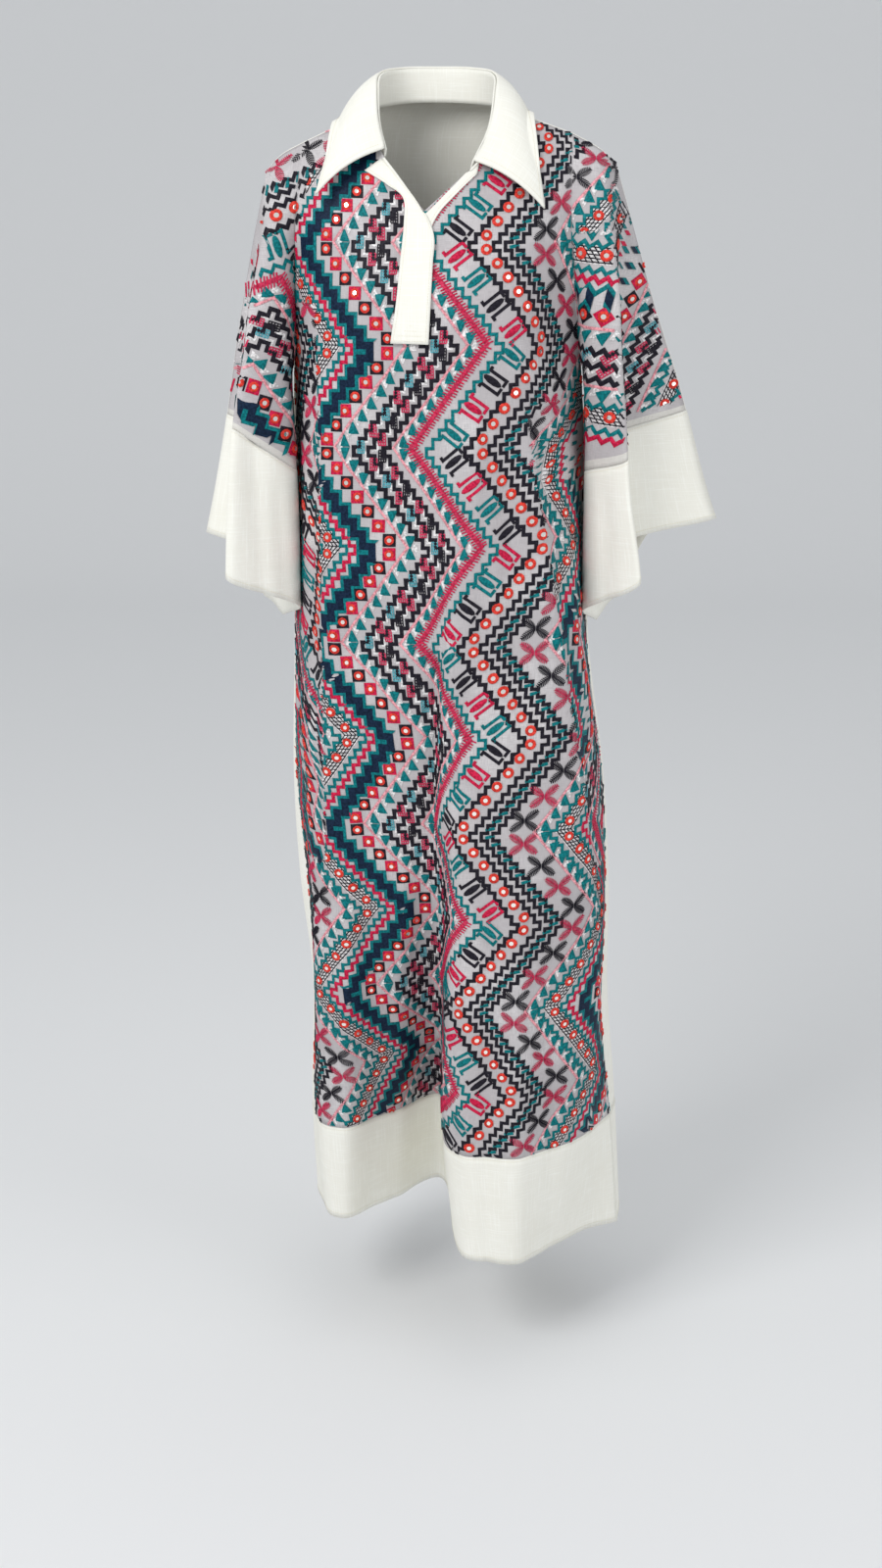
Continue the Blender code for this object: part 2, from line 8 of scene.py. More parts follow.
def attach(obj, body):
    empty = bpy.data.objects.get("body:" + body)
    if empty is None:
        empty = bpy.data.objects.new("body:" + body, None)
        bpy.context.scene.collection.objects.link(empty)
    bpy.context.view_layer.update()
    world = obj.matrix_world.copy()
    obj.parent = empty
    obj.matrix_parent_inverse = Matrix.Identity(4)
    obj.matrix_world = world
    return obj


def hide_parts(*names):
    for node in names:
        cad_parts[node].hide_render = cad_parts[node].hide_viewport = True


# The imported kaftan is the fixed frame: every piece below stands for one of its nodes and rides on its body.
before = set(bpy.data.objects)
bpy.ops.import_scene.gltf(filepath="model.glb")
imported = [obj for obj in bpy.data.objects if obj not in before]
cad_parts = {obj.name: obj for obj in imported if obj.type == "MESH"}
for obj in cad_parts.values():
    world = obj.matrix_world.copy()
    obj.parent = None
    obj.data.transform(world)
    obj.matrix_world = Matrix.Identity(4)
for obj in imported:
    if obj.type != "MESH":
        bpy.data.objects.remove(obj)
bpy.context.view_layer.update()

# Front: the front of the body and the front halves of both half sleeves, cut in one from sheer grey voile. It
# hangs in soft folds and is sewn to the linen back at the shoulders, along the sleeves and down the sides.
MM = 0.001
WALL = 0.0016              # thickness of the single cloths
SEAM = 0.0003              # gap between two pieces that are sewn together
FINE = 4                   # columns and rows for each one of the solids
YOKE_ROWS, CHEST_ROWS, BODY_ROWS, SLEEVE_ROWS, BAND_ROWS = (n * FINE for n in (4, 4, 26, 6, 4))
SHOULDER_STEPS = 5 * FINE
YOKE_DROP, UNDERARM_DROP, HEM_SEAM_DROP = 0.12, 0.23, 1.127
JUST_BELOW = 0.01          # how far below the yoke the way it arrives there is read
SEAM_TILT = -0.04          # change of the hem seam's drop for each metre towards +X


def finer(steps):
    return tuple(n * FINE for n in steps)


# Level sections in millimetres: the drop, then x and y of each named point of the front:
# left seam, left edge, left middle, centre, ridge, right of front, right edge, right seam.
FRONT_STEPS = finer((3, 4, 6, 6, 3, 5, 4))
FRONT_SECTIONS = (
    (120, (-148, -45), (-122, -66), (-70, -90), (-13, -100), (20, -100), (60, -94), (100, -82), (140, -52)),
    (180, (-149, -40), (-126, -74), (-75, -105), (-16, -116), (18, -119), (50, -117), (88, -104), (146, -44)),
    (230, (-149, -28), (-126, -78), (-75, -108), (-18, -120), (15, -124), (45, -123), (83, -113), (150, -30)),
    (360, (-152, 4), (-129, -78), (-70, -110), (-15, -119), (18, -125), (52, -126), (116, -103), (159, -2)),
    (560, (-157, 18), (-130, -76), (-70, -104), (-8, -112), (28, -122), (75, -126), (143, -98), (165, 12)),
    (720, (-157, 16), (-131, -62), (-72, -88), (-4, -94), (25, -118), (88, -127), (158, -104), (186, 14)),
    (840, (-145, 0), (-132, -48), (-75, -66), (0, -60), (22, -110), (86, -124), (172, -88), (189, -10)),
    (960, (-140, 6), (-134, -30), (-78, -42), (0, -15), (18, -100), (80, -121), (178, -66), (185, -26)),
    (1110, (-144, 26), (-134, 0), (-88, -4), (0, 70), (14, -84), (62, -113), (170, -58), (200, -2)),
    (1270, (-134, 40), (-126, 16), (-85, 30), (2, 126), (34, -88), (70, -102), (152, -32), (214, 14)),
)
# The largest folds: place and half width in named points, drops between which they grow, depth at the hem.
FRONT_FOLDS = ((5.55, 0.45, 300, 900, 7), (1.45, 0.40, 500, 1150, 9), (6.30, 0.35, 620, 1150, -8))
# The sleeves' sections, x outwards: inner, lap, flap, tuck, over, back outer, back inner.
SLEEVE_STEPS = finer((2, 4, 3, 3, 3, 3, 2))
SLEEVE_R = (
    (120, (140, -52), (155, -62), (180, -66), (188, -45), (210, 0), (195, 35), (165, 58)),
    (180, (146, -44), (158, -64), (187, -76), (183, -46), (228, 0), (212, 40), (180, 52)),
    (230, (150, -30), (159, -62), (190, -80), (180, -44), (245, 0), (226, 42), (190, 46)),
    (255, (158, -20), (159, -60), (192, -81), (180, -43), (254, 0), (230, 42), (193, 46)),
    (300, (165, -8), (160, -56), (196, -83), (181, -42), (268, 0), (234, 42), (197, 48)),
    (380, (171, 0), (160, -50), (202, -84), (184, -40), (291, 0), (238, 46), (200, 54)),
    (460, (175, 5), (160, -46), (214, -84), (190, -38), (319, 0), (240, 48), (200, 60)),
    (540, (177, 8), (161, -44), (219, -84), (194, -36), (340, 0), (244, 50), (203, 62)),
)
SLEEVE_L = (
    (120, (148, -45), (158, -55), (178, -60), (184, -40), (193, 0), (184, 34), (165, 56)),
    (180, (149, -40), (160, -62), (192, -72), (184, -44), (205, 0), (196, 36), (176, 50)),
    (230, (149, -28), (160, -64), (199, -78), (184, -46), (214, 0), (204, 38), (184, 44)),
    (255, (157, -18), (159, -62), (204, -80), (185, -46), (218, 0), (208, 39), (186, 44)),
    (300, (162, -8), (156, -58), (212, -82), (186, -46), (225, 0), (213, 42), (188, 46)),
    (380, (167, 0), (152, -54), (219, -84), (190, -44), (240, 0), (222, 46), (190, 52)),
    (460, (170, 5), (151, -50), (223, -84), (196, -40), (257, 0), (232, 42), (192, 58)),
    (540, (172, 8), (151, -48), (224, -84), (200, -38), (268, 0), (240, 44), (196, 60)),
)
# The drop of each cuff's seam at those points, and the front's top edges from the neck to the sleeves' ends.
CUFF_SEAM_R = (366, 356, 341, 322, 298, 318, 362)
CUFF_SEAM_L = (364, 354, 308, 312, 302, 312, 360)
EDGE_R = ((-13, -88, -87), (18, -73, -60), (46, -56, -34), (62, -28, -4), (69, -6, 11), (105, -10, 0),
          (140, -11, -12), (168, -10, -27), (187, -6, -42))
EDGE_L = ((-13, -88, -87), (-34, -73, -60), (-54, -56, -34), (-66, -28, -6), (-71, -6, 10), (-105, -10, -6),
          (-140, -11, -22), (-162, -10, -34), (-178, -6, -50))


def hermite(start, end, leaving, arriving, t):
    """A smooth run from start to end at the shares t of the way, with its slopes at both ends."""
    return (
        start * (2 * t**3 - 3 * t**2 + 1)
        + end * (3 * t**2 - 2 * t**3)
        + leaving * (t**3 - 2 * t**2 + t)
        + arriving * (t**3 - t**2)
    )


def curve(points, at):
    """Reads a smooth curve through points (..., n, d) at the places at, counted in points from 0 to n - 1."""
    points = np.asarray(points, float)
    chord = np.linalg.norm(np.diff(points, axis=-2), axis=-1) ** 0.5 + 1e-9
    step = np.diff(points, axis=-2) / chord[..., None]
    before, after = chord[..., :-1, None], chord[..., 1:, None]
    inside = (step[..., :-1, :] * after + step[..., 1:, :] * before) / (before + after)
    slope = np.concatenate([step[..., :1, :], inside, step[..., -1:, :]], axis=-2)
    at = np.clip(np.asarray(at, float), 0.0, points.shape[-2] - 1)
    i = np.minimum(at.astype(int), points.shape[-2] - 2)
    span = chord[..., i][..., None]
    return hermite(points[..., i, :], points[..., i + 1, :], slope[..., i, :] * span,
                   slope[..., i + 1, :] * span, (at - i)[:, None])


def at_points(values, at):
    """A measure in millimetres at each named point, read smoothly at the places at."""
    return curve(np.array(values, float)[:, None] * MM, at)[:, 0]


def columns(steps):
    """Places along the named points, with steps[k] equal parts between points k and k + 1."""
    return np.append(np.concatenate([np.arange(n) / n + k for k, n in enumerate(steps)]), len(steps))


def smooth_rows(rows, drop):
    """The points of a run of sections, smoothly between its rows, at each drop."""
    drops = np.array([row[0] for row in rows], float) * MM
    points = np.array([row[1:] for row in rows], float) * MM
    slopes = np.gradient(points, drops, axis=0)
    drop = np.clip(np.asarray(drop, float), drops[0], drops[-1])
    i = np.clip(np.searchsorted(drops, drop) - 1, 0, len(drops) - 2)
    span = (drops[i + 1] - drops[i])[:, None, None]
    t = ((drop - drops[i]) / (drops[i + 1] - drops[i]))[:, None, None]
    return hermite(points[i], points[i + 1], slopes[i] * span, slopes[i + 1] * span, t)


def down_table(rows, drop):
    """The named points at each drop, in two smooth runs that meet at the underarm."""
    underarm = round(UNDERARM_DROP / MM)
    above = smooth_rows([row for row in rows if row[0] <= underarm], drop)
    below = smooth_rows([row for row in rows if row[0] >= underarm], drop)
    return np.where(np.asarray(drop, float)[:, None, None] > UNDERARM_DROP, below, above)


def smoothstep(x, low, high):
    t = np.clip((np.asarray(x, float) - low) / (high - low), 0.0, 1.0)
    return t * t * (3 - 2 * t)


def hang(rows, at, drops, folds=(), front=1.0):
    """Points of the hanging cloth: drops is (rows, columns), at the column's place along the section."""
    drops = np.asarray(drops, float)
    grid = np.empty(drops.shape + (3,))
    for k, place in enumerate(at):
        grid[:, k, :2] = curve(down_table(rows, drops[:, k]), [place])[:, 0]
        grid[:, k, 2] = -drops[:, k]
    for place, half_width, start, full, depth in folds:
        across = np.clip(1.0 - ((at - place) / (2.0 * half_width)) ** 2, 0.0, 1.0) ** 2
        grown = smoothstep(drops / MM, start, full)
        grid[:, :, 1] -= front * depth * MM * across * grown
    return grid


def halves(rows, sign, valley=()):
    """A sleeve's sections turned to its side: its front half and its back half."""
    front, back = [], []
    for drop, *points in rows:
        points = [(sign * x, y) for x, y in points]
        inner = (sign * valley[drop][0], valley[drop][1]) if drop in valley else points[0]
        front.append((drop, *points[:5]))
        back.append((drop, *points[4:], inner))
    return tuple(front), tuple(back)


def levels(start, end, rows):
    t = np.linspace(0.0, 1.0, rows + 1)[:, None]
    return np.asarray(start, float) * (1 - t) + np.asarray(end, float) * t


def unit(v):
    return v / (np.linalg.norm(v, axis=-1, keepdims=True) + 1e-12)


def yoke(top, rows, at, lean, hold):
    """From the top edge down to the hanging sections, leaning out over the shoulders where hold is 1."""
    low, below = (hang(rows, at, np.full((1, len(at)), YOKE_DROP + more))[0]
                  for more in (0.0, JUST_BELOW))
    reach = np.linalg.norm(low - top, axis=1, keepdims=True)
    start = (low - top) / reach * (1 - hold[:, None]) + unit(np.array(lean)) * hold[:, None]
    t = np.linspace(0.0, 1.0, YOKE_ROWS + 1)[:, None, None]
    return hermite(top, low, start * reach, unit(below - low) * reach, t)


def travelled(grid, axis=0):
    """Distance along the lines of a grid of points, from its first row, or on axis 1 its first column."""
    step = np.linalg.norm(np.diff(grid, axis=axis), axis=-1)
    return np.concatenate([np.zeros_like(step.take([0], axis)), np.cumsum(step, axis)], axis)


def even(points, count):
    """count + 1 points evenly spaced along the smooth curve through points in millimetres."""
    fine = curve(np.array(points, float) * MM, np.linspace(0, len(points) - 1, 40 * len(points)))
    run = travelled(fine)
    want = np.linspace(0.0, run[-1], count + 1)
    return np.stack([np.interp(want, run, fine[:, k]) for k in range(3)], axis=1)


def top_columns(edge, body_steps, sleeve_steps):
    neck = even(edge[:5], body_steps - SHOULDER_STEPS)
    shoulder = even(edge[4:7], SHOULDER_STEPS)
    return np.concatenate([neck, shoulder[1:]]), even(edge[6:], sleeve_steps)


def numbered(grid):
    """The number of each point of a grid, row by row."""
    return np.arange(grid.shape[0] * grid.shape[1]).reshape(grid.shape[:2])


def grid_faces(index):
    """Faces over a grid of point numbers whose rows run down and columns run to the viewer's right."""
    return np.stack([index[:-1, :-1], index[1:, :-1], index[1:, 1:], index[:-1, 1:]], axis=-1).reshape(-1, 4)


def triangles_of(quads):
    return np.concatenate([quads[:, [0, 1, 2]], quads[:, [0, 2, 3]]])


def normals_of(points, faces):
    """Smooth normals at the points."""
    a = points[faces[:, 2]] - points[faces[:, 0]]
    b = points[faces[:, 3]] - points[faces[:, 1]]
    face = np.cross(a, b)
    out = np.zeros_like(points)
    for k in range(4):
        np.add.at(out, faces[:, k], face)
    return unit(out)


def creased(points, creases, toward, share):
    """Soft troughs and ridges moved in y, by share at each point. Each has its width to the left and to the
    right, its depth (outwards below zero) and the line it runs along, x and drop, in millimetres."""
    moved = points.copy()
    drop = -points[:, 2]
    for left, right, depth, *line in creases:
        x, d = np.array(line, float).T * MM
        along = (drop - d[0]) / (d[-1] - d[0])
        off = points[:, 0] - np.interp(drop, d, x)
        near = np.exp(-((off / (np.where(off < 0, left, right) * MM)) ** 2))
        near = near * smoothstep(along, -0.02, 0.22) * smoothstep(along, 1.02, 0.72)
        moved[:, 1] += toward * depth * MM * near * share
    return moved


def clear_of_seams(index, count):
    """1 at the points of a grid out of count, and 0 in its outermost columns, which the side seams hold."""
    share = np.zeros(count)
    share[index[:, FINE:-FINE].ravel()] = 1.0
    return share


def panel(sections, steps, folds, front, sleeves, top, lean, hold):
    """The front or back panel: points, faces and the point numbers of its three tongues, each from the top.
    Each sleeve is given by its sections, its columns and the drop of its cuff's seam."""
    body_at = columns(steps)
    seam = HEM_SEAM_DROP + SEAM_TILT * curve(down_table(sections, [HEM_SEAM_DROP]), body_at)[0, :, 0]
    left, right = ((*sleeve, SLEEVE_ROWS, ()) for sleeve in sleeves)
    tongues = (left, (sections, body_at, seam, BODY_ROWS, folds), right)
    cuts = np.cumsum([0] + [len(at) - 1 for _, at, *_ in tongues])
    spans = [slice(a, b + 1) for a, b in zip(cuts, cuts[1:])]
    upper = []
    for (rows, at, *_), span in zip(tongues, spans):
        shoulder = yoke(top[span], rows, at, lean, hold[span])
        chest = hang(rows, at, levels(YOKE_DROP, np.full(len(at), UNDERARM_DROP), CHEST_ROWS))
        block = np.concatenate([shoulder, chest[1:]], axis=0)
        upper.append(block[:, 1:] if upper else block)
    upper = np.concatenate(upper, axis=1)
    points, index = [upper.reshape(-1, 3)], numbered(upper)
    faces, runs = [grid_faces(index)], []
    for (rows, at, end, count, fold), span in zip(tongues, spans):
        grid = hang(rows, at, levels(UNDERARM_DROP, end, count), fold, front)[1:]
        added = numbered(grid) + sum(len(p) for p in points)
        points.append(grid.reshape(-1, 3))
        faces.append(grid_faces(np.vstack([index[-1:, span], added])))
        runs.append(np.vstack([index[:, span], added]))
    points = np.concatenate(points)
    for run, inner in ((runs[0][:, 0], runs[0][:, 1]), (runs[2][:, -1], runs[2][:, -2])):
        points[run] += unit(points[inner] - points[run]) * SEAM / 2
    return points, np.concatenate(faces), runs


def placed(name, data):
    """An object in the scene that shows the given data."""
    thing = bpy.data.objects.new(name, data)
    bpy.context.scene.collection.objects.link(thing)
    return thing


def mesh_object(name, points, faces, material, uv=None):
    """A named mesh from arrays, smooth, riding on the body."""
    mesh = bpy.data.meshes.new(name)
    faces = np.asarray(faces, np.int64)
    mesh.vertices.add(len(points))
    mesh.vertices.foreach_set("co", np.asarray(points, np.float32).ravel())
    corners = faces.shape[1]
    mesh.loops.add(faces.size)
    mesh.loops.foreach_set("vertex_index", faces.ravel().astype(np.int32))
    mesh.polygons.add(len(faces))
    mesh.polygons.foreach_set("loop_start", (np.arange(len(faces)) * corners).astype(np.int32))
    mesh.polygons.foreach_set("loop_total", np.full(len(faces), corners, np.int32))
    mesh.update(calc_edges=True)
    mesh.validate()
    mesh.shade_smooth()
    if uv is not None:
        layer = mesh.uv_layers.new(name="Cloth")
        layer.data.foreach_set("uv", np.asarray(uv, np.float32)[faces.ravel()].ravel())
    mesh.materials.append(material)
    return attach(placed(name, mesh), "root")


def shell(node, points, faces, wall, material, uv):
    """The cloth that stands for a node: the surface, its outer side a wall away, and the rim between."""
    outer = points + normals_of(points, faces) * wall
    count = len(points)
    edges = dict.fromkeys((a, b) for k in range(4) for a, b in faces[:, [k, (k + 1) % 4]].tolist())
    sides = np.array([(b, b + count, a + count, a) for a, b in edges if (b, a) not in edges])
    outside = triangles_of(faces)
    everything = np.concatenate([outside + count, outside[:, ::-1], triangles_of(sides)])
    both = np.concatenate([points, outer])
    thing = mesh_object(node + "_cloth", both, everything, material, np.concatenate([uv, uv]))
    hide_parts(node)
    return thing, outer


class Shade:
    """One socket of a material's nodes, with the arithmetic of node graphs written as formulas."""

    def __init__(self, tree, socket):
        self.tree, self.socket = tree, socket

    def feed(self, value, socket):
        """Links a Shade to an input, or sets the input to a plain value."""
        if isinstance(value, Shade):
            self.tree.links.new(value.socket, socket)
        else:
            socket.default_value = value

    def node(self, kind, settings=None, out=0, **inputs):
        """A new node: its settings, the output wanted, and its inputs by name or, after an i, by number."""
        node = self.tree.nodes.new(kind)
        for key, value in (settings or {}).items():
            setattr(node, key, value)
        for key, value in inputs.items():
            key = int(key[1:]) if key[0] == "i" and key[1:].isdigit() else key.replace("_", " ")
            self.feed(value, node.inputs[key])
        return Shade(self.tree, node.outputs[out])

    def math(self, operation, a, b):
        return self.node("ShaderNodeMath", {"operation": operation}, i0=a, i1=b)

    def __add__(self, other):
        return self.math("ADD", self, other)

    def __radd__(self, other):
        return self.math("ADD", other, self)

    def __mul__(self, other):
        return self.math("MULTIPLY", self, other)

    def __rmul__(self, other):
        return self.math("MULTIPLY", other, self)

    def smooth(self, low, high):
        return self.node("ShaderNodeMapRange", {"interpolation_type": "SMOOTHSTEP"},
                         i0=self, i1=low, i2=high, i3=0.0, i4=1.0)

    def mix(self, first, second):
        """Colour first where this is 0, second where it is 1."""
        return self.node("ShaderNodeMix", {"data_type": "RGBA"}, 2, i0=self, i6=first, i7=second)

    def noise(self, detail, stretch=None, scale=1.0, **more):
        """Noise over this place, which is first stretched where stretch is given."""
        place = self.node("ShaderNodeMapping", Vector=self, Scale=stretch) if stretch else self
        return self.node("ShaderNodeTexNoise", Vector=place, Scale=scale, Detail=detail, **more)


def material_of(name, colour, roughness, **more):
    """A Principled material with uniform values, and a Shade to build on it."""
    material = bpy.data.materials.new(name)
    material.use_nodes = True
    shader = material.node_tree.nodes["Principled BSDF"]
    shader.inputs["Base Color"].default_value = colour
    shader.inputs["Roughness"].default_value = roughness
    for key, value in more.items():
        shader.inputs[key.replace("_", " ")].default_value = value
    start = Shade(material.node_tree, shader.outputs[0])
    return material, shader, start


def woven(name, colour, roughness):
    """A matt cloth: its material, its shader and the place on the flat cloth that the weave follows."""
    material, shader, s = material_of(name, colour, roughness, Specular_IOR_Level=0.25)
    return material, shader, s.node("ShaderNodeUVMap", {"uv_map": "Cloth"})


def finish_weave(shader, colour, weave, strength, distance):
    weave.feed(colour, shader.inputs["Base Color"])
    bump = weave.node("ShaderNodeBump", Strength=strength, Distance=distance, Height=weave)
    weave.feed(bump, shader.inputs["Normal"])


def voile_material(name, dark, light, gaps):
    """Pale voile: a fine open weave over a white ground, lighter in patches."""
    material, shader, uv = woven(name, light, 0.8)
    weave = uv.noise(2.0, (90.0, 2000.0, 1.0)) * 0.5 + uv.noise(2.0, (2000.0, 90.0, 1.0)) * 0.5
    ground = uv.noise(2.0, scale=9.0).smooth(0.45, 0.60).mix(dark, light)
    finish_weave(shader, weave.smooth(0.30, 0.65).mix(gaps, ground), weave, 0.3, 0.0004)
    return material


voile = voile_material("Grey voile", (0.53, 0.50, 0.51, 1), (0.69, 0.665, 0.67, 1), (0.43, 0.405, 0.415, 1))
centre_col, ridge_col = np.cumsum(FRONT_STEPS)[2:4]
front_at = columns(SLEEVE_STEPS[:4])
body_l, arm_l = top_columns(EDGE_L, centre_col, len(front_at) - 1)
body_r, arm_r = top_columns(EDGE_R, sum(FRONT_STEPS) - centre_col, len(front_at) - 1)
front_top = np.concatenate([arm_l[::-1], body_l[::-1][1:], body_r[1:], arm_r[1:]])
NECK_SIDE, HOLD_WIDTH = 0.052, 0.030       # the lean over the shoulders grows from here, over this width
front_hold = np.clip((np.abs(front_top[:, 0]) - NECK_SIDE) / HOLD_WIDTH, 0.0, 1.0)
front_sleeves = (
    (halves(SLEEVE_L, -1)[0], front_at[::-1], at_points(CUFF_SEAM_L[:5], front_at[::-1])),
    (halves(SLEEVE_R, 1)[0], front_at, at_points(CUFF_SEAM_R[:5], front_at)),
)
front_points, front_faces, (run_l, run_b, run_r) = panel(
    FRONT_SECTIONS, FRONT_STEPS, FRONT_FOLDS, 1.0, front_sleeves, front_top,
    lean=(0.0, -0.85, -0.42), hold=front_hold,
)
# The finer creases: width to the left and right, depth, and the line from top to bottom as x and drop.
FRONT_CREASES = (
    (16, 4, -7, (90, 250), (102, 360), (129, 520), (157, 686), (172, 830)),
    (4, 12, 5, (99, 262), (111, 360), (137, 520), (163, 686), (178, 830)),
    (4, 14, -5, (-121, 190), (-121, 520), (-122, 840)), (7, 3, 5, (-129, 180), (-130, 520), (-129, 830)),
    (4, 18, -6, (16, 470), (9, 600), (5, 790)), (14, 4, 6, (7, 480), (1, 600), (-3, 800)),
    (12, 16, 4, (-60, 400), (-74, 700), (-88, 1090)), (10, 9, -4, (-104, 330), (-108, 500), (-112, 720)),
    (16, 9, -4, (40, 250), (36, 400), (28, 580)), (10, 14, 4, (66, 300), (74, 460), (96, 720)),
    (12, 9, 4, (-52, 170), (-44, 300), (-38, 450)), (9, 12, -3, (-84, 150), (-88, 260), (-92, 420)),
    (10, 12, -5, (-34, 700), (-42, 980), (-47, 1500)), (12, 16, 5, (-68, 820), (-76, 1080), (-82, 1500)),
    (9, 12, -4, (-100, 760), (-106, 1000), (-110, 1450)), (11, 15, 5, (48, 720), (54, 960), (62, 1500)),
    (14, 10, -5, (84, 700), (90, 1000), (98, 1450)), (10, 12, 4, (120, 840), (126, 1060), (134, 1500)),
    (8, 9, -3, (28, 980), (30, 1100), (33, 1400)),
)
front_points = creased(front_points, FRONT_CREASES, 1.0, clear_of_seams(run_b, len(front_points)))


def fall_of(grid):
    """Distance down each column of a grid from the shoulder's line, less what the column leans by."""
    down = travelled(grid)
    down = down - down[YOKE_ROWS]
    aside = grid[:, :, 0] - grid[YOKE_ROWS, :, 0]
    return YOKE_DROP + np.sign(down) * np.sqrt(np.maximum(down**2 - aside**2, 0.0))


def as_uv(u, v):
    return np.stack([u.ravel(), v.ravel()], axis=1)


# How the flat cloth lies on the body: u runs across the bands of embroidery and v down them, in metres. At
# each drop the table holds u at the centre and at the ridge; what the fold between hides makes up the rest.
PATTERN_ROWS = ((120, -8, 25), (330, -10, 25), (440, -5, 36), (620, -15, 52), (740, -27, 51), (900, -30, 47),
                (1200, -36, 45))
table = np.array(PATTERN_ROWS, float) * MM
body_grid = front_points[run_b]
body_x, drop = body_grid[:, :, 0], -body_grid[:, :, 2]
arc = travelled(body_grid, 1)
u_centre, u_ridge = (np.interp(drop[:, col], table[:, 0], table[:, k])[:, None]
                     for k, col in ((1, centre_col), (2, ridge_col)))
a_centre, a_ridge = arc[:, centre_col][:, None], arc[:, ridge_col][:, None]
body_u = np.where(arc <= a_centre, u_centre + (arc - a_centre),
                  np.where(arc >= a_ridge, u_ridge + (arc - a_ridge),
                           u_centre + (u_ridge - u_centre) * (arc - a_centre) / (a_ridge - a_centre)))
body_v = fall_of(body_grid)
yoke_x, yoke_u = body_x[YOKE_ROWS], body_u[YOKE_ROWS]


def body_map(x):
    beyond = np.where(x > yoke_x[-1], x - yoke_x[-1], 0) + np.where(x < yoke_x[0], x - yoke_x[0], 0)
    return np.interp(x, yoke_x, yoke_u) + beyond


body_u = np.where(np.arange(len(body_grid))[:, None] < YOKE_ROWS, body_map(body_x), body_u)
front_uv = np.zeros((len(front_points), 2))
sleeve_lay = []
for side, run in ((1, run_r), (-1, run_l[:, ::-1])):
    sleeve_arc, fall = travelled(front_points[run], 1), fall_of(front_points[run])
    sleeve_lay.append((side, run, sleeve_arc, fall))
    front_uv[run.ravel()] = as_uv(body_u[YOKE_ROWS, -1 if side > 0 else 0] + side * sleeve_arc, fall)
front_uv[run_b.ravel()] = as_uv(body_u, body_v)
front_cloth, front_outer = shell("front", front_points, front_faces, WALL, voile,
                                 front_uv)
# Above each cuff's seam the linen's seam allowance shows through the voile: the last rows of the sleeves.
SEAM_ROWS = 2
over_seam = np.zeros(len(front_points), bool)
for run in (run_l, run_r):
    over_seam[run[-1 - SEAM_ROWS:].ravel()] = True
paler = np.zeros(len(front_cloth.data.polygons), np.int32)
paler[:2 * len(front_faces)] = np.tile(over_seam[front_faces].all(axis=1), 2)
front_cloth.data.materials.append(voile_material(
    "Voile over a seam", (0.72, 0.70, 0.66, 1), (0.80, 0.78, 0.73, 1), (0.60, 0.58, 0.54, 1)
))
front_cloth.data.polygons.foreach_set("material_index", paler)
front_normals = normals_of(front_points, front_faces)

# Embroidery: silky threads and darned motifs in nine colours, stitched over the whole of the voile in chevron
# bands. Each is drawn on the flat cloth and laid on the front, in the regions that its long folds part.
CHEVRON_START, ARM, SWING = 0.222, 0.104, 0.0405     # v of a right-hand point, v and u of half an arm's swing
REPEAT = 0.348                                       # the whole order of bands, across
FOLD_EASE = 0.45                     # beyond the right fold u follows x by this share, not the cloth
SHOULDER_CORNER = (0.178, 0.108)     # x and drop where the bands turn from the body's way to the sleeve's
YOKE_END = 0.119                     # drop down to which the sleeve's bands come over the left shoulder
PLAIN_STRIP = 0.013                  # the voile stays plain for this much above the cuff's seam
CREEP = 0.0003                       # what a hidden column still adds, so that the map never turns back
COLUMN = 0.012                       # what one column counts for beside the lengths that bound a region
OVERLAP = 0.0005                     # how far the sleeve's two regions run into each other behind the flap
MITRE_LIMIT = 0.8                    # keeps a thread's outer corners from reaching out too far
# The left shoulder's line where the sleeve's cloth begins, by drop and x; then a long fold at each side, by
# drop, its edge's x and what it hides: all in millimetres.
LEFT_TURN = ((0, -100), (43, -116), (54, -130), (78, -137), (103, -142), (120, -150))
LEFT_FOLD = ((180, -124, 45), (285, -122, 67), (370, -122, 72), (430, -122, 105), (510, -122, 145),
             (600, -122, 165), (660, -122, 215), (700, -122, 262), (790, -122, 300))
RIGHT_FOLD = ((280, 89, 0), (315, 95, 20), (335, 98, 42), (360, 102, 66), (430, 115, 65), (520, 129, 57),
              (600, 142, 62), (686, 157, 105), (760, 166, 120), (790, 170, 120))
# How the bands lie on the sleeves: u and v at a point, that point's outward x and drop, the turn of the bands
# with the arm in degrees, and what u and v grow by in each metre. The right sleeve's flap and the cloth
# behind it, which a fold parts, have one each.
SLEEVE_MAPS = {
    "left": (-0.308, 0.014, 0.170, 0.176, 18.0, 0.90, 1.0),
    "flap": (0.303, 0.041, 0.197, 0.209, 32.0, 0.85, 0.85),
    "behind": (0.285, -0.036, 0.201, 0.209, 32.0, 1.117, 0.926),
}


def sleeve_map(name, x, fall):
    u0, v0, x0, drop0, turn, gain, along = SLEEVE_MAPS[name]
    c, s = math.cos(math.radians(turn)), math.sin(math.radians(turn))
    down = s * (x - x0) + c * (fall - drop0)
    across = -c * (x - x0) + s * (fall - drop0)
    return u0 + math.copysign(gain, u0) * down, v0 + along * across


def fold_of(rows):
    """The fold's edge and hidden width at each point of the body, and where the fold is there at all."""
    fold = np.array(rows, float) * MM
    edge, hidden = (np.interp(drop, fold[:, 0], fold[:, k]) for k in (1, 2))
    return edge, hidden, np.minimum(drop - fold[0, 0], fold[-1, 0] - drop)


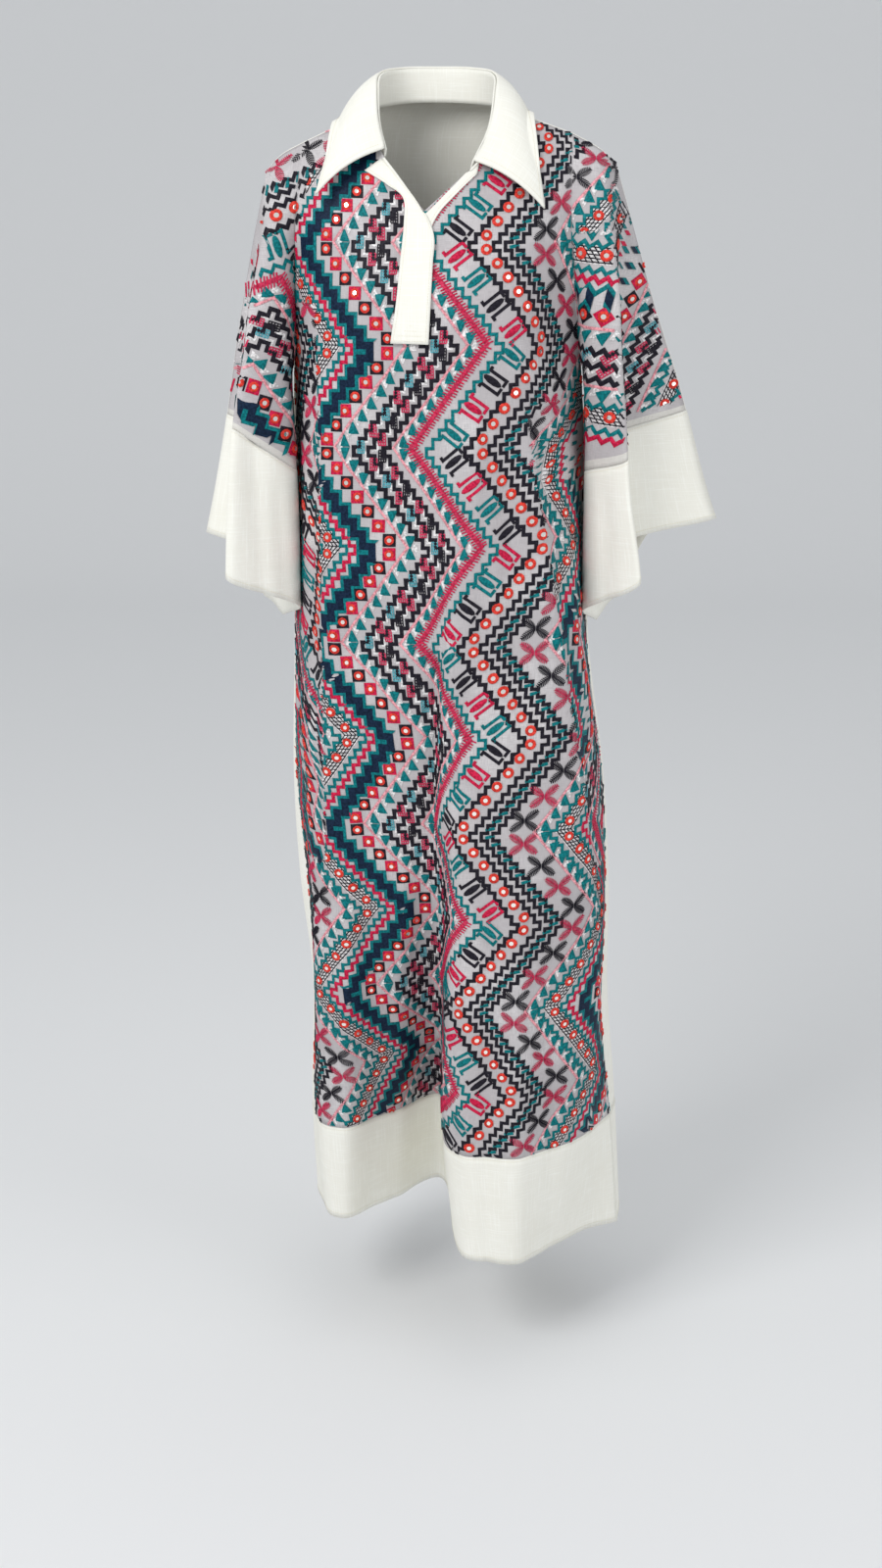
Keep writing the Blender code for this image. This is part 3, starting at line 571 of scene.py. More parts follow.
left_edge, left_hidden, left_there = fold_of(LEFT_FOLD)
right_edge, right_hidden, right_there = fold_of(RIGHT_FOLD)
at_edge = [np.interp(edge[0], x, run) for edge, x, run in zip(right_edge, body_x, arc)]
beyond_arc = arc - np.array(at_edge)[:, None]
eased_u = body_u - FOLD_EASE * (beyond_arc - (body_x - right_edge)) + right_hidden
left_in = np.minimum(left_edge - body_x, left_there)
right_in = np.minimum(body_x - right_edge, right_there)
turn_x = np.interp(drop, *(np.array(LEFT_TURN, float).T * MM))
turn_in = np.minimum(turn_x - body_x, YOKE_END - drop)
main_in = -np.maximum(np.maximum(left_in, right_in), turn_in)
# Each region: point numbers, u, v, how far inside it a point lies, and the u at which its last bands begin.
regions = [
    (run_b, body_u, body_v, main_in, None), (run_b, body_u - left_hidden, body_v, left_in, None),
    (run_b, eased_u, body_v, right_in, None), (run_b, *sleeve_map("left", -body_x, body_v), turn_in, None),
]
lap, flap, tuck = np.cumsum(SLEEVE_STEPS)[:3]
for side, run, sleeve_arc, fall in sleeve_lay:
    grid = front_points[run]
    x, shoulder = side * grid[:, :, 0], SHOULDER_CORNER[1] + grid[:, :, 2]
    column = np.arange(x.shape[1])
    widest = np.maximum.accumulate(x, axis=1)
    below_bands = -grid[-1, :, 2][None, :] + grid[:, :, 2] - PLAIN_STRIP
    # In front the bands run on under the lap and over the flap; behind its edge they follow the cloth's turn.
    px = x.copy()
    px[:, :lap] = x[:, lap][:, None] - (sleeve_arc[:, lap][:, None] - sleeve_arc[:, :lap])
    creep = x[:, flap][:, None] + CREEP * (column - flap)[None, :]
    px = np.where((column > flap)[None, :], np.maximum(x, creep), px)
    px = np.where(np.arange(len(px))[:, None] < YOKE_ROWS, widest, px)
    turned = x[:, flap][:, None] + sleeve_arc - sleeve_arc[:, flap][:, None]
    if side < 0:
        hidden = np.where(column > flap, widest - x, np.where(column == flap, 0.0, -1.0))
        for outwards, inside in ((px, OVERLAP - hidden), (turned, hidden)):
            us, vs = sleeve_map("left", outwards, fall)
            inside = np.minimum(below_bands, inside)
            regions.append((run[:, ::-1], us[:, ::-1], vs[:, ::-1], inside[:, ::-1], None))
        continue
    flap_in = np.minimum(-shoulder, (flap + 1.5 - column)[None, :] * COLUMN)
    side_in = np.minimum(-shoulder, np.minimum(column - flap - 0.5, tuck - 1.5 - column)[None, :] * COLUMN)
    past_corner = np.minimum(x - SHOULDER_CORNER[0], shoulder)
    behind_in = np.maximum(past_corner, (column - tuck + 1.5)[None, :] * COLUMN)
    narrowest = np.minimum.accumulate(x[:, ::-1], axis=1)[:, ::-1]
    behind = narrowest + CREEP * np.minimum(column - tuck, 0)[None, :]
    flap_lay, side_lay = sleeve_map("flap", px, fall), sleeve_map("flap", turned, fall)
    regions += [
        (run, *flap_lay, np.minimum(below_bands, flap_in), REPEAT),
        (run, *sleeve_map("behind", behind, fall), np.minimum(below_bands, behind_in), REPEAT),
        (run, body_map(x), fall, np.minimum(SHOULDER_CORNER[0] - x, shoulder), None),
        (run, *side_lay, np.minimum(below_bands, side_in), REPEAT),
    ]


def mitred(path):
    """The way aside at each point of a path, longer at its corners so that a thread keeps its width."""
    d = unit(np.diff(path, axis=0))
    side = np.stack([-d[:, 1], d[:, 0]], axis=1)
    mid = side[:-1] + side[1:]
    scale = np.maximum((mid**2).sum(axis=1, keepdims=True), MITRE_LIMIT)
    return np.concatenate([side[:1], mid * 2 / scale, side[-1:]])


def raised(flat, height):
    return np.column_stack([flat, np.full(len(flat), height)])


def hoops(rings, n):
    """Faces between rings of n points each, numbered one ring after another."""
    k = np.arange(n)
    hoop = np.stack([k, (k + 1) % n, (k + 1) % n + n, k + n], axis=1)
    return np.concatenate([hoop + r * n for r in range(rings - 1)])


def fan(first, n, centre):
    """Faces that fill the ring of n points from number first round the point number centre."""
    k = np.arange(0, n, 2)
    return np.stack([first + k, first + k + 1, first + (k + 2) % n, np.full(len(k), centre)], axis=1)


class Stitches:
    """The stitched motifs of one colour, gathered as strips and patches in flat cloth: u, v and height."""

    def __init__(self):
        self.points, self.faces, self.count = [], [], 0

    def put(self, flat, faces):
        self.points.append(np.asarray(flat, float))
        self.faces.append(np.asarray(faces, int) + self.count)
        self.count += len(flat)

    def ribbon(self, path, width, low=0.0005, high=0.0011):
        """A raised thread along a path."""
        path = np.asarray(path, float)
        across, n = mitred(path) * width / 2, len(path)
        flat = np.concatenate([raised(path + across, low), raised(path, high), raised(path - across, low)])
        self.put(flat, grid_faces(np.arange(3 * n).reshape(3, n)))

    def square(self, outline, height, edge=0.0004):
        """A filled motif of four sides: its rim low, its middle raised."""
        a, b, c, d = np.asarray(outline, float)
        share = np.array([0.0, 0.13, 0.5, 0.87, 1.0])
        s, t = (g.ravel()[:, None] for g in np.meshgrid(share, share))
        flat = (a * (1 - s) + b * s) * (1 - t) + (d * (1 - s) + c * s) * t
        rim = (np.abs(s - 0.5) == 0.5) | (np.abs(t - 0.5) == 0.5)
        self.put(np.hstack([flat, np.where(rim, edge, height)]), grid_faces(np.arange(25).reshape(5, 5)))

    def oval(self, middle, axis, length, width, height):
        """A filled oval along an axis, which is given with the way across it."""
        n = 10
        t = np.arange(n) / n * 2 * np.pi
        along, aside = np.outer(np.cos(t) * length / 2, axis[0]), np.outer(np.sin(t) * width / 2, axis[1])
        outline = middle + along + aside
        middle = outline.mean(axis=0)
        top = raised(middle + (outline - middle) * 0.72, height)
        self.put(np.concatenate([raised(outline, 0.0005), top, raised(middle[None], height)]),
                 np.concatenate([hoops(2, n), fan(n, n, 2 * n)]))


def tri(v):
    """The chevron's swing at v: 1 at the right-hand points, -1 at the left-hand ones."""
    phase = ((np.asarray(v, float) - CHEVRON_START) / ARM) % 2.0
    return 1.0 - 2.0 * np.minimum(phase, 2.0 - phase)


def rising(v):
    return tri(v + 1e-4) > tri(v - 1e-4)


def on_band(u0, v):
    v = np.asarray(v, float)
    return np.stack([u0 + SWING * tri(v), v], axis=-1)


def evenly(lo, hi, parts, shift=0.0):
    """Numbers and v of places between lo and hi, with parts of them in each arm of the chevron."""
    step = ARM / parts
    k = np.arange(math.floor((lo - CHEVRON_START) / step), math.ceil((hi - CHEVRON_START) / step) + 1)
    return k, CHEVRON_START + (k + shift) * step


def stair(u0, lo, hi, parts):
    """A stepped line: down, then across, parts times in each arm of the chevron."""
    _, v = evenly(lo, hi, parts)
    u = u0 + SWING * tri(v)
    path = np.empty((2 * len(v) - 1, 2))
    path[0::2] = np.stack([u, v], axis=1)
    path[1::2] = np.stack([u[:-1], v[1:]], axis=1)
    return path


def mirror_at(sets, p, ring_r, mirror_r, lift=0.0):
    """A round mirror held by a ring of red stitches."""
    n = 12
    turn = np.arange(n) / n * 2 * np.pi
    way = np.stack([np.cos(turn), np.sin(turn)], axis=1)
    ring = ((ring_r, 0.0008), ((ring_r + mirror_r) / 2, 0.0021), (mirror_r, 0.0013))
    sets["red"].put(np.concatenate([raised(p + way * r, height + lift) for r, height in ring]), hoops(3, n))
    disc = raised(p + way * mirror_r * 1.1, 0.0014 + lift)
    sets["mirror"].put(np.concatenate([disc, raised(p[None], 0.00145 + lift)]), fan(0, n, n))


def flower(stitches, p):
    """A cross of four petals, each darned across."""
    rows = 9
    for turn in (37, 143, 217, 323):
        c, s = math.cos(math.radians(turn)), math.sin(math.radians(turn))
        axis, other = np.array([c, s]), np.array([-s, c])
        stitches.ribbon([p + axis * 0.0010, p + axis * 0.0180], 0.0012, 0.0005, 0.0014)
        for k in range(rows):
            share = (k + 0.5) / rows
            half_width = 0.0042 * math.sin(math.pi * share) ** 0.45
            m = p + axis * (0.0006 + 0.0174 * share)
            stitches.ribbon([m - other * half_width + axis * 0.0012, m - axis * 0.0006,
                             m + other * half_width + axis * 0.0012], 0.0011, 0.0005, 0.0012)


def box(p, half_u, half_v):
    return [p + (-half_u, -half_v), p + (half_u, -half_v), p + (half_u, half_v), p + (-half_u, half_v)]


def bands(sets, lo_u, hi_u, lo, hi, after):
    """Every band of the design between the limits of u and v; after, where given, ends the usual order."""
    def places(u0, parts, shift=0.5):
        k, v = evenly(lo, hi, parts, shift)
        return zip(k.tolist(), on_band(u0, v))

    def straight(u0, colour, width, low=0.0005, high=0.0012):
        sets[colour].ribbon(on_band(u0, evenly(lo, hi, 26)[1]), width, low, high)

    def stepped(u0, colour, parts, width):
        path = stair(u0, lo, hi, parts)
        both = np.empty((2 * len(path) - 1, 2))
        both[0::2], both[1::2] = path, (path[:-1] + path[1:]) / 2
        sets[colour].ribbon(both, width, 0.0005, 0.0013)

    def triangles(u0):
        for colour, shift, e, height in (("teal", 0.5, 0.0062, 0.0011), ("white", 0.0, -0.0046, 0.0006)):
            w = abs(e)
            for _, p in places(u0, 8, shift):
                h = e if rising(p[1]) else -e
                corners = ((-w * 0.12, h), (w * 0.12, h), (w, -h), (-w, -h))
                sets[colour].square([p + corner for corner in corners], height)

    def check(u0):
        straight(u0, "white", 0.0165, 0.0004, 0.0005)
        for k in range(-2, 3):
            straight(u0 + k * 0.0041, "black", 0.0011, 0.0006, 0.0010)
        for p in on_band(u0, np.arange(lo, hi, 0.0040)):
            sets["black"].ribbon([p + (-0.0092, 0), p, p + (0.0092, 0)], 0.0011, 0.0006, 0.0011)
        for _, p in places(u0, 6):
            mirror_at(sets, p, 0.0054, 0.0019)

    def scribble(u0):
        straight(u0, "rose", 0.0048, 0.0004, 0.0006)
        for k, (_, p) in enumerate(places(u0, 40, 0.0)):
            s = 0.0026 if rising(p[1]) else -0.0026
            colour, reach = (("rose", 0.0066), ("crimson", 0.0052), ("rose", 0.0060))[k % 3]
            sets[colour].ribbon([p + (-reach, s), p, p + (reach, -s)], 0.0017, 0.0005, 0.0015)

    def leaves(u0):
        for q, p in places(u0, 4):
            down = unit(np.array([2 * SWING / ARM if rising(p[1]) else -2 * SWING / ARM, 1.0]))
            across = np.array([down[1], -down[0]])
            stitches = sets[("teal", "black", "crimson")[q % 3]]
            stitches.oval(p - across * 0.0016, (across, down), 0.0225, 0.0076, 0.0016)
            for s in (-1, 1):
                side = p + down * s * 0.0080
                stitches.ribbon([side - across * 0.0100 + down * s * 0.0044, side - across * 0.0100, side,
                                 side + across * 0.0112, p + across * 0.0112 + down * s * 0.0010],
                                0.0034, 0.0005, 0.0014)

    def rings(u0):
        for _, p in places(u0, 7):
            mirror_at(sets, p, 0.0060, 0.0022)

    def dashes(u0):
        for _, p in places(u0, 12):
            sets["teal"].ribbon([p + (-0.0050, 0.0010), p, p + (0.0050, -0.0010)], 0.0036, 0.0005, 0.0013)

    def flowers(u0):
        for q, p in places(u0, 4):
            flower(sets[("rose", "black")[q % 2]], p)

    def bold(u0):
        path = stair(u0, lo, hi, 8)
        sets["navy"].ribbon(path, 0.0078, 0.0008, 0.0014)
        for offset in (-0.0054, 0.0054):
            sets["teal"].ribbon(path + mitred(path) * offset, 0.0040, 0.0005, 0.0013)

    def squares(u0):
        for q, p in places(u0, 7):
            sets["black" if q % 2 else "crimson"].square(box(p, 0.0068, 0.0068), 0.0011, 0.0005)
            mirror_at(sets, p, 0.0050, 0.0021, 0.0003)

    def darned(u0, other, shift):
        width, height, thread = 0.0070, 0.0124, 0.0013
        for q, p in places(u0, 6, shift):
            stitches = sets["rose" if q % 2 else other]
            for k in range(4):
                a = p + ((k / 3 - 0.5) * width, -height / 2)
                stitches.ribbon([a, a + (0, height)], thread, 0.0006, 0.0010)
            for k in range(5):
                a = p + (-width / 2, (k / 4 - 0.5) * height)
                stitches.ribbon([a, a + (width, 0)], thread, 0.0006, 0.0011)
        for _, p in places(u0, 6, 0.5 - shift):
            sets["white"].square(box(p, 0.0034, 0.0044), 0.0005)

    order = (
        (0.000, straight, "pink", 0.0027), (0.0070, triangles), (0.0195, scribble),
        (0.036, stepped, "teal", 11, 0.0034), (0.057, leaves), (0.078, stepped, "black", 12, 0.0040),
        (0.0900, rings), (0.103, stepped, "black", 12, 0.0038), (0.1155, stepped, "black", 12, 0.0038),
        (0.1215, dashes), (0.128, stepped, "black", 12, 0.0038), (0.151, flowers),
        (0.172, straight, "pink", 0.0027), (0.1790, triangles), (0.190, stepped, "teal", 12, 0.0034),
        (0.204, check), (0.218, stepped, "teal", 12, 0.0034), (0.2275, stepped, "crimson", 12, 0.0038),
        (0.246, bold), (0.2700, squares), (0.284, straight, "pink", 0.0027), (0.2915, triangles),
        (0.3065, stepped, "black", 12, 0.0041), (0.3220, stepped, "black", 12, 0.0041),
        (0.3375, stepped, "black", 12, 0.0041), (0.3142, darned, "sky", 0.0), (0.3297, darned, "black", 0.5),
    )
    last = (
        (0.0, straight, "pink", 0.0027), (0.0070, triangles), (0.018, stepped, "teal", 12, 0.0034),
        (0.032, check), (0.046, stepped, "teal", 12, 0.0034), (0.055, stepped, "crimson", 12, 0.0038),
    )
    for n in range(-3, 4):
        for place, draw, *details in order:
            u0 = n * REPEAT + place
            if lo_u - 0.05 < u0 < hi_u + 0.05 and (after is None or u0 < after - 0.001):
                draw(u0, *details)
    for place, draw, *details in () if after is None else last:
        draw(after + place, *details)


def cross(p, q):
    return p[:, 0] * q[:, 1] - p[:, 1] * q[:, 0]


COLOURS = {
    "black": (0.012, 0.010, 0.017, 1), "teal": (0.0, 0.165, 0.180, 1), "navy": (0.004, 0.016, 0.042, 1),
    "crimson": (0.56, 0.012, 0.060, 1), "pink": (0.76, 0.32, 0.36, 1), "white": (0.70, 0.68, 0.68, 1),
    "red": (0.68, 0.045, 0.030, 1), "sky": (0.10, 0.36, 0.42, 1), "rose": (0.55, 0.035, 0.095, 1),
    "mirror": (0.95, 0.94, 0.88, 1),
}
NEAR = 0.0002                        # a stitch this close to the flat cloth's edge still lies on it
MARGIN = 0.012                       # cloth this far outside a region still carries its map
STRETCH, SLACK, LARGEST = 1.9, 0.0012, 0.02      # a stitch's face may grow by these, and be this large
laid = {name: ([], []) for name in COLOURS}
for run, u, v, inside, after in regions:
    quads = grid_faces(numbered(run))
    quads = quads[(inside.ravel()[quads] > -MARGIN).any(axis=1)]
    tris = triangles_of(quads)
    flat = np.column_stack([u.ravel(), v.ravel(), np.zeros(run.size)])
    tree = BVHTree.FromPolygons(flat.tolist(), tris.tolist())
    used = flat[np.unique(tris)]
    sets = {name: Stitches() for name in COLOURS}
    bands(sets, used[:, 0].min(), used[:, 0].max(), used[:, 1].min() - 0.01, used[:, 1].max() + 0.01, after)
    for name, stitches in sets.items():
        if not stitches.count:
            continue
        points, faces = np.concatenate(stitches.points), np.concatenate(stitches.faces)
        found = [tree.find_nearest((pu, pv, 0.0), NEAR)[2] for pu, pv, _ in points.tolist()]
        found = np.array([-1 if face is None else face for face in found])
        corner = tris[np.maximum(found, 0)]
        a, b, c = (flat[corner[:, k], :2] for k in range(3))
        area = cross(b - a, c - a) + 1e-15
        wb, wc = cross(points[:, :2] - a, c - a) / area, cross(b - a, points[:, :2] - a) / area
        weights = np.clip(np.stack([1 - wb - wc, wb, wc], axis=1), 0, 1)
        weights /= weights.sum(axis=1, keepdims=True)
        on_front = run.ravel()[corner]
        base, normal = ((part[on_front] * weights[:, :, None]).sum(axis=1)
                        for part in (front_outer, front_normals))
        on_cloth = base + unit(normal) * points[:, 2:3]
        within = (inside.ravel()[corner] * weights).sum(axis=1)
        # A stitch goes where it would lie off the cloth, outside its region, or stretched across a fold.
        good = (found >= 0)[faces].all(axis=1) & (within[faces].mean(axis=1) > 0.0)
        for one, other in ((0, 2), (1, 3)):
            size = np.linalg.norm(on_cloth[faces[:, one]] - on_cloth[faces[:, other]], axis=1)
            wanted = np.linalg.norm(points[faces[:, one]] - points[faces[:, other]], axis=1)
            good &= (size < STRETCH * wanted + SLACK) & (size < LARGEST)
        kept, faces = np.unique(faces[good], return_inverse=True)
        laid[name][1].append(faces.reshape(-1, 4) + sum(len(p) for p in laid[name][0]))
        laid[name][0].append(on_cloth[kept])


def sewn(name, piece, material):
    thing = mesh_object(piece, *(np.concatenate(part) for part in laid[name]), material)
    return thing


for name, colour in COLOURS.items():
    if name == "mirror":
        continue
    material, shader, s = material_of("Thread " + name, colour, 0.5, Specular_IOR_Level=0.12)
    threads = s.node("ShaderNodeTexCoord", out=3).noise(2.0, scale=420.0)
    dark = tuple(c * 0.70 for c in colour[:3]) + (1,)
    light = tuple(min(c * 1.25 + 0.004, 1) for c in colour[:3]) + (1,)
    s.feed(threads.smooth(0.35, 0.65).mix(dark, light), shader.inputs["Base Color"])
    piece = "mirror_rings" if name == "red" else "stitches_" + name
    sewn(name, piece, material)

# Mirrors: small round discs of silvered glass, flat and bare. Each lies on the voile inside the ring of red
# stitches that holds it, so they were laid together with the embroidery.
glass, _, _ = material_of("Mirror", COLOURS["mirror"], 0.10, Metallic=0.85)
sewn("mirror", "mirrors", glass)

# Back: the back of the body and the back halves of both sleeves, cut in one from plain cream linen. It hangs
# in long soft folds; its slubbed threads show both ways, a little darker between them.
# Its named points: right seam, right side, right blade, centre, left blade, left side, left seam.
BACK_STEPS = finer((3, 4, 5, 5, 4, 3))
BACK_SECTIONS = (
    (120, (142, 50), (122, 68), (78, 88), (0, 88), (-80, 86), (-128, 66), (-148, 45)),
    (180, (147, 15), (141, 54), (86, 98), (0, 97), (-88, 96), (-143, 54), (-150, 10)),
    (230, (150, -30), (146, 42), (90, 104), (0, 103), (-90, 102), (-149, 42), (-149, -28)),
    (360, (159, -2), (159, 50), (95, 110), (0, 110), (-95, 108), (-155, 50), (-152, 4)),
    (560, (165, 12), (166, 56), (100, 120), (0, 120), (-100, 118), (-157, 58), (-157, 18)),
    (720, (186, 14), (186, 58), (105, 132), (0, 128), (-100, 130), (-162, 56), (-157, 16)),
    (840, (189, -10), (194, 40), (110, 140), (0, 136), (-100, 142), (-157, 56), (-145, 0)),
    (960, (185, -26), (195, 40), (115, 150), (0, 145), (-100, 155), (-144, 60), (-140, 6)),
    (1110, (200, -2), (207, 60), (125, 165), (0, 158), (-100, 172), (-148, 80), (-144, 26)),
    (1270, (214, 14), (216, 75), (130, 180), (0, 170), (-100, 190), (-144, 92), (-134, 40)),
)
BACK_FOLDS = ((1.60, 0.45, 250, 1200, -16), (2.35, 0.40, 300, 1150, 15), (3.05, 0.42, 320, 1250, -20),
              (3.80, 0.40, 420, 1200, 17), (4.60, 0.40, 350, 1250, -15))
# Where the back leaves the front's seam: the last point of its sleeves at those drops; and the neck's edge.
BACK_VALLEY_R = {120: (142, 50), 180: (147, 15)}
BACK_VALLEY_L = {120: (148, 45), 180: (150, 10)}
BACK_NECK = ((69, -6, 11), (56, 30, 17), (30, 52, 20), (0, 58, 21), (-30, 52, 20),
             (-57, 30, 16), (-71, -6, 10))
LINEN_LIGHT, LINEN_SHADE = (0.95, 0.945, 0.88, 1), (0.87, 0.855, 0.775, 1)
linen, shader, uv = woven("Cream linen", LINEN_LIGHT, 0.88)
weft = uv.noise(3.0, (60.0, 2400.0, 1.0), Roughness=0.6)
warp = uv.noise(3.0, (2400.0, 60.0, 1.0), Roughness=0.6)
slub = uv.noise(2.0, (25.0, 700.0, 1.0)).smooth(0.52, 0.72)
ridge = uv.noise(2.0, (600.0, 22.0, 1.0)).smooth(0.50, 0.72)
weave = weft * 0.35 + warp * 0.30 + slub * 0.20 + ridge * 0.20
tone = (weave * 0.75 + uv.noise(2.0, scale=18.0) * 0.25).smooth(0.25, 0.62)
finish_weave(shader, tone.mix(LINEN_SHADE, LINEN_LIGHT), weave, 0.35, 0.0006)
back_at = columns(SLEEVE_STEPS[4:])
back_neck = even(BACK_NECK, sum(BACK_STEPS) - 2 * SHOULDER_STEPS)
back_body_r, back_arm_r = top_columns(EDGE_R, 2 * SHOULDER_STEPS, len(back_at) - 1)
back_body_l, back_arm_l = top_columns(EDGE_L, 2 * SHOULDER_STEPS, len(back_at) - 1)
back_top = np.concatenate([back_arm_r[::-1], back_body_r[SHOULDER_STEPS:][::-1][1:], back_neck[1:],
                           back_body_l[SHOULDER_STEPS + 1:], back_arm_l[1:]])
REAR_POINTS = (4, 5, 6, 0)           # the sleeves' named points over the back, from over to inner
seam_r, seam_l = (at_points([seam[k] for k in REAR_POINTS], back_at) for seam in (CUFF_SEAM_R, CUFF_SEAM_L))
back_sleeves = (
    (halves(SLEEVE_R, 1, BACK_VALLEY_R)[1], back_at, seam_r),
    (halves(SLEEVE_L, -1, BACK_VALLEY_L)[1], back_at[::-1], seam_l[::-1]),
)
back_points, back_faces, back_runs = panel(
    BACK_SECTIONS, BACK_STEPS, BACK_FOLDS, -1.0, back_sleeves, back_top,
    lean=(0.0, 0.95, 0.22), hold=np.ones(len(back_top)),
)
BACK_CREASES = (
    (10, 14, 5, (-70, 260), (-66, 560), (-60, 900)), (14, 11, -5, (-30, 400), (-33, 760), (-36, 1500)),
    (12, 12, 4, (24, 240), (32, 520), (42, 880)), (12, 16, -5, (70, 400), (76, 760), (86, 1500)),
    (9, 12, 5, (-110, 540), (-113, 800), (-120, 1450)), (12, 9, 5, (118, 300), (134, 700), (152, 1120)),
    (18, 14, -4, (2, 60), (0, 220), (-6, 430)), (11, 9, 5, (6, 700), (8, 960), (4, 1500)),
    (9, 12, 4, (-92, 120), (-84, 240), (-80, 420)), (10, 12, -4, (50, 150), (58, 300), (66, 420)),
)
back_points = creased(back_points, BACK_CREASES, -1.0, clear_of_seams(back_runs[1], len(back_points)))
back_cloth, _ = shell("back", back_points, back_faces, WALL, linen,
                      as_uv(back_points[:, 0] + back_points[:, 1], back_points[:, 2]))

# Hem: a deep doubled band of the same linen under each panel, folded at its lower edge and sewn to the panel
# along its top. It carries the panels' folds on down and slants a little to the hem.
BAND_WALL = 0.0020         # thickness of doubled linen
HEM_DROP, HEM_TILT = 1.259, 0.03


def linen_piece(node, grid, across, down=None, around=False):
    """A doubled linen piece over a grid, with its weave laid by across and down; around joins its sides."""
    index = numbered(grid)
    faces = grid_faces(np.hstack([index, index[:, :1]]) if around else index)
    uv = as_uv(np.broadcast_to(across, index.shape), grid[..., 2] if down is None else down)
    thing, outer = shell(node, grid.reshape(-1, 3), faces, BAND_WALL, linen, uv)
    return thing, outer[index]


def hem(node, sections, steps, folds, creases, front):
    at = columns(steps)
    x = curve(down_table(sections, [HEM_SEAM_DROP]), at)[0, :, 0]
    drops = levels(HEM_SEAM_DROP + SEAM_TILT * x + SEAM / 2, HEM_DROP + HEM_TILT * x, BAND_ROWS)
    grid = hang(sections, at, drops, folds, front)
    share = clear_of_seams(numbered(grid), grid.size // 3)
    return linen_piece(node, creased(grid.reshape(-1, 3), creases, front, share).reshape(grid.shape),
                       travelled(grid[0]))


hem_front, hem_front_outer = hem("hem_front", FRONT_SECTIONS, FRONT_STEPS, FRONT_FOLDS, FRONT_CREASES, 1.0)
hem_back, hem_back_outer = hem("hem_back", BACK_SECTIONS, BACK_STEPS, BACK_FOLDS, BACK_CREASES, -1.0)

# Cuffs: a doubled linen band round the end of each sleeve, sewn to it along the top and open below. Each is
# one loop, folded sharply at the overarm and at the underarm, with soft creases in front.
CUFF_EDGE_R = (530, 508, 472, 440, 416, 434, 514)
CUFF_EDGE_L = (524, 503, 466, 446, 431, 440, 514)
CUFF_CREASES = (
    (9, 12, 4, (-196, 280), (-190, 400), (-184, 600)), (8, 10, -4, (-214, 290), (-216, 400), (-222, 560)),
    (8, 8, 3, (-172, 340), (-168, 440), (-160, 620)), (10, 9, 4, (228, 280), (246, 380), (262, 520)),
    (10, 12, -3, (206, 320), (212, 400), (226, 560)), (8, 8, 4, (178, 350), (182, 440), (190, 620)),
    (9, 9, -3, (250, 290), (276, 380), (300, 500)),
)
CREASED_FROM, CREASED_FULL = 0.0, 0.03     # the creases grow between these distances in front of the origin


def cuff(node, rows, sign, seam, edge):
    front_half, rear_half = halves(rows, sign)
    grids = []
    for part, at, pick in ((front_half, front_at, (0, 1, 2, 3, 4)), (rear_half, back_at, REAR_POINTS)):
        start, end = (at_points([line[k] for k in pick], at) for line in (seam, edge))
        start = start + SEAM
        grids.append(hang(part, at, levels(start, end, BAND_ROWS))[:, :-1])
    grid = np.concatenate(grids, axis=1)[:, ::sign]
    points = grid.reshape(-1, 3)
    points = creased(points, CUFF_CREASES, 1.0, smoothstep(-points[:, 1], CREASED_FROM, CREASED_FULL))
    return linen_piece(node, points.reshape(grid.shape), travelled(grid[0]), around=True)


cuff_l, cuff_l_outer = cuff("cuff_l", SLEEVE_L, -1, CUFF_SEAM_L, CUFF_EDGE_L)
cuff_r, cuff_r_outer = cuff("cuff_r", SLEEVE_R, 1, CUFF_SEAM_R, CUFF_EDGE_R)

# Collar stand: a narrow upright band of doubled linen round the neck, sewn inside the panels' top edge. Its
# crest is the line over which the fall rolls, given with the fall's edge as x, y and z in millimetres.
ROLL = ((-53, -58, -26), (-60, -42, 0), (-62, -18, 30), (-60, 10, 48), (-36, 52, 55), (0, 64, 56),
        (36, 52, 55), (60, 10, 48), (60, -18, 30), (54, -44, -4), (37, -66, -38))
FALL = ((-123, -80, -71), (-117, -58, -48), (-109, -25, -20), (-100, 12, 0), (-66, 78, 4), (0, 100, 2),
        (64, 78, 6), (94, 12, 6), (99, -22, -12), (104, -54, -44), (109, -82, -85))
neck = (*EDGE_L[2:4], *BACK_NECK[::-1], *EDGE_R[2:4][::-1], (35, -63, -45))
COLLAR_COLUMNS = 132
GAP = 0.0005               # between the panels' edge and the stand inside it
neck_line, roll_line, fall_line = (even(line, COLLAR_COLUMNS) for line in (neck, ROLL, FALL))
inwards = unit((np.array([-0.002, -0.002, 0.0]) - neck_line) * (1, 1, 0))
foot = neck_line + inwards * (BAND_WALL + GAP)
crest = roll_line + inwards * (BAND_WALL + GAP) - np.array([0.0, 0.0, SEAM])
t = np.linspace(0.0, 1.0, 9)[:, None, None]
grid = (crest * (1 - t) + foot * t)[:, ::-1]
along = travelled(grid[0])
collar_stand, _ = linen_piece("collar_stand", grid, along)

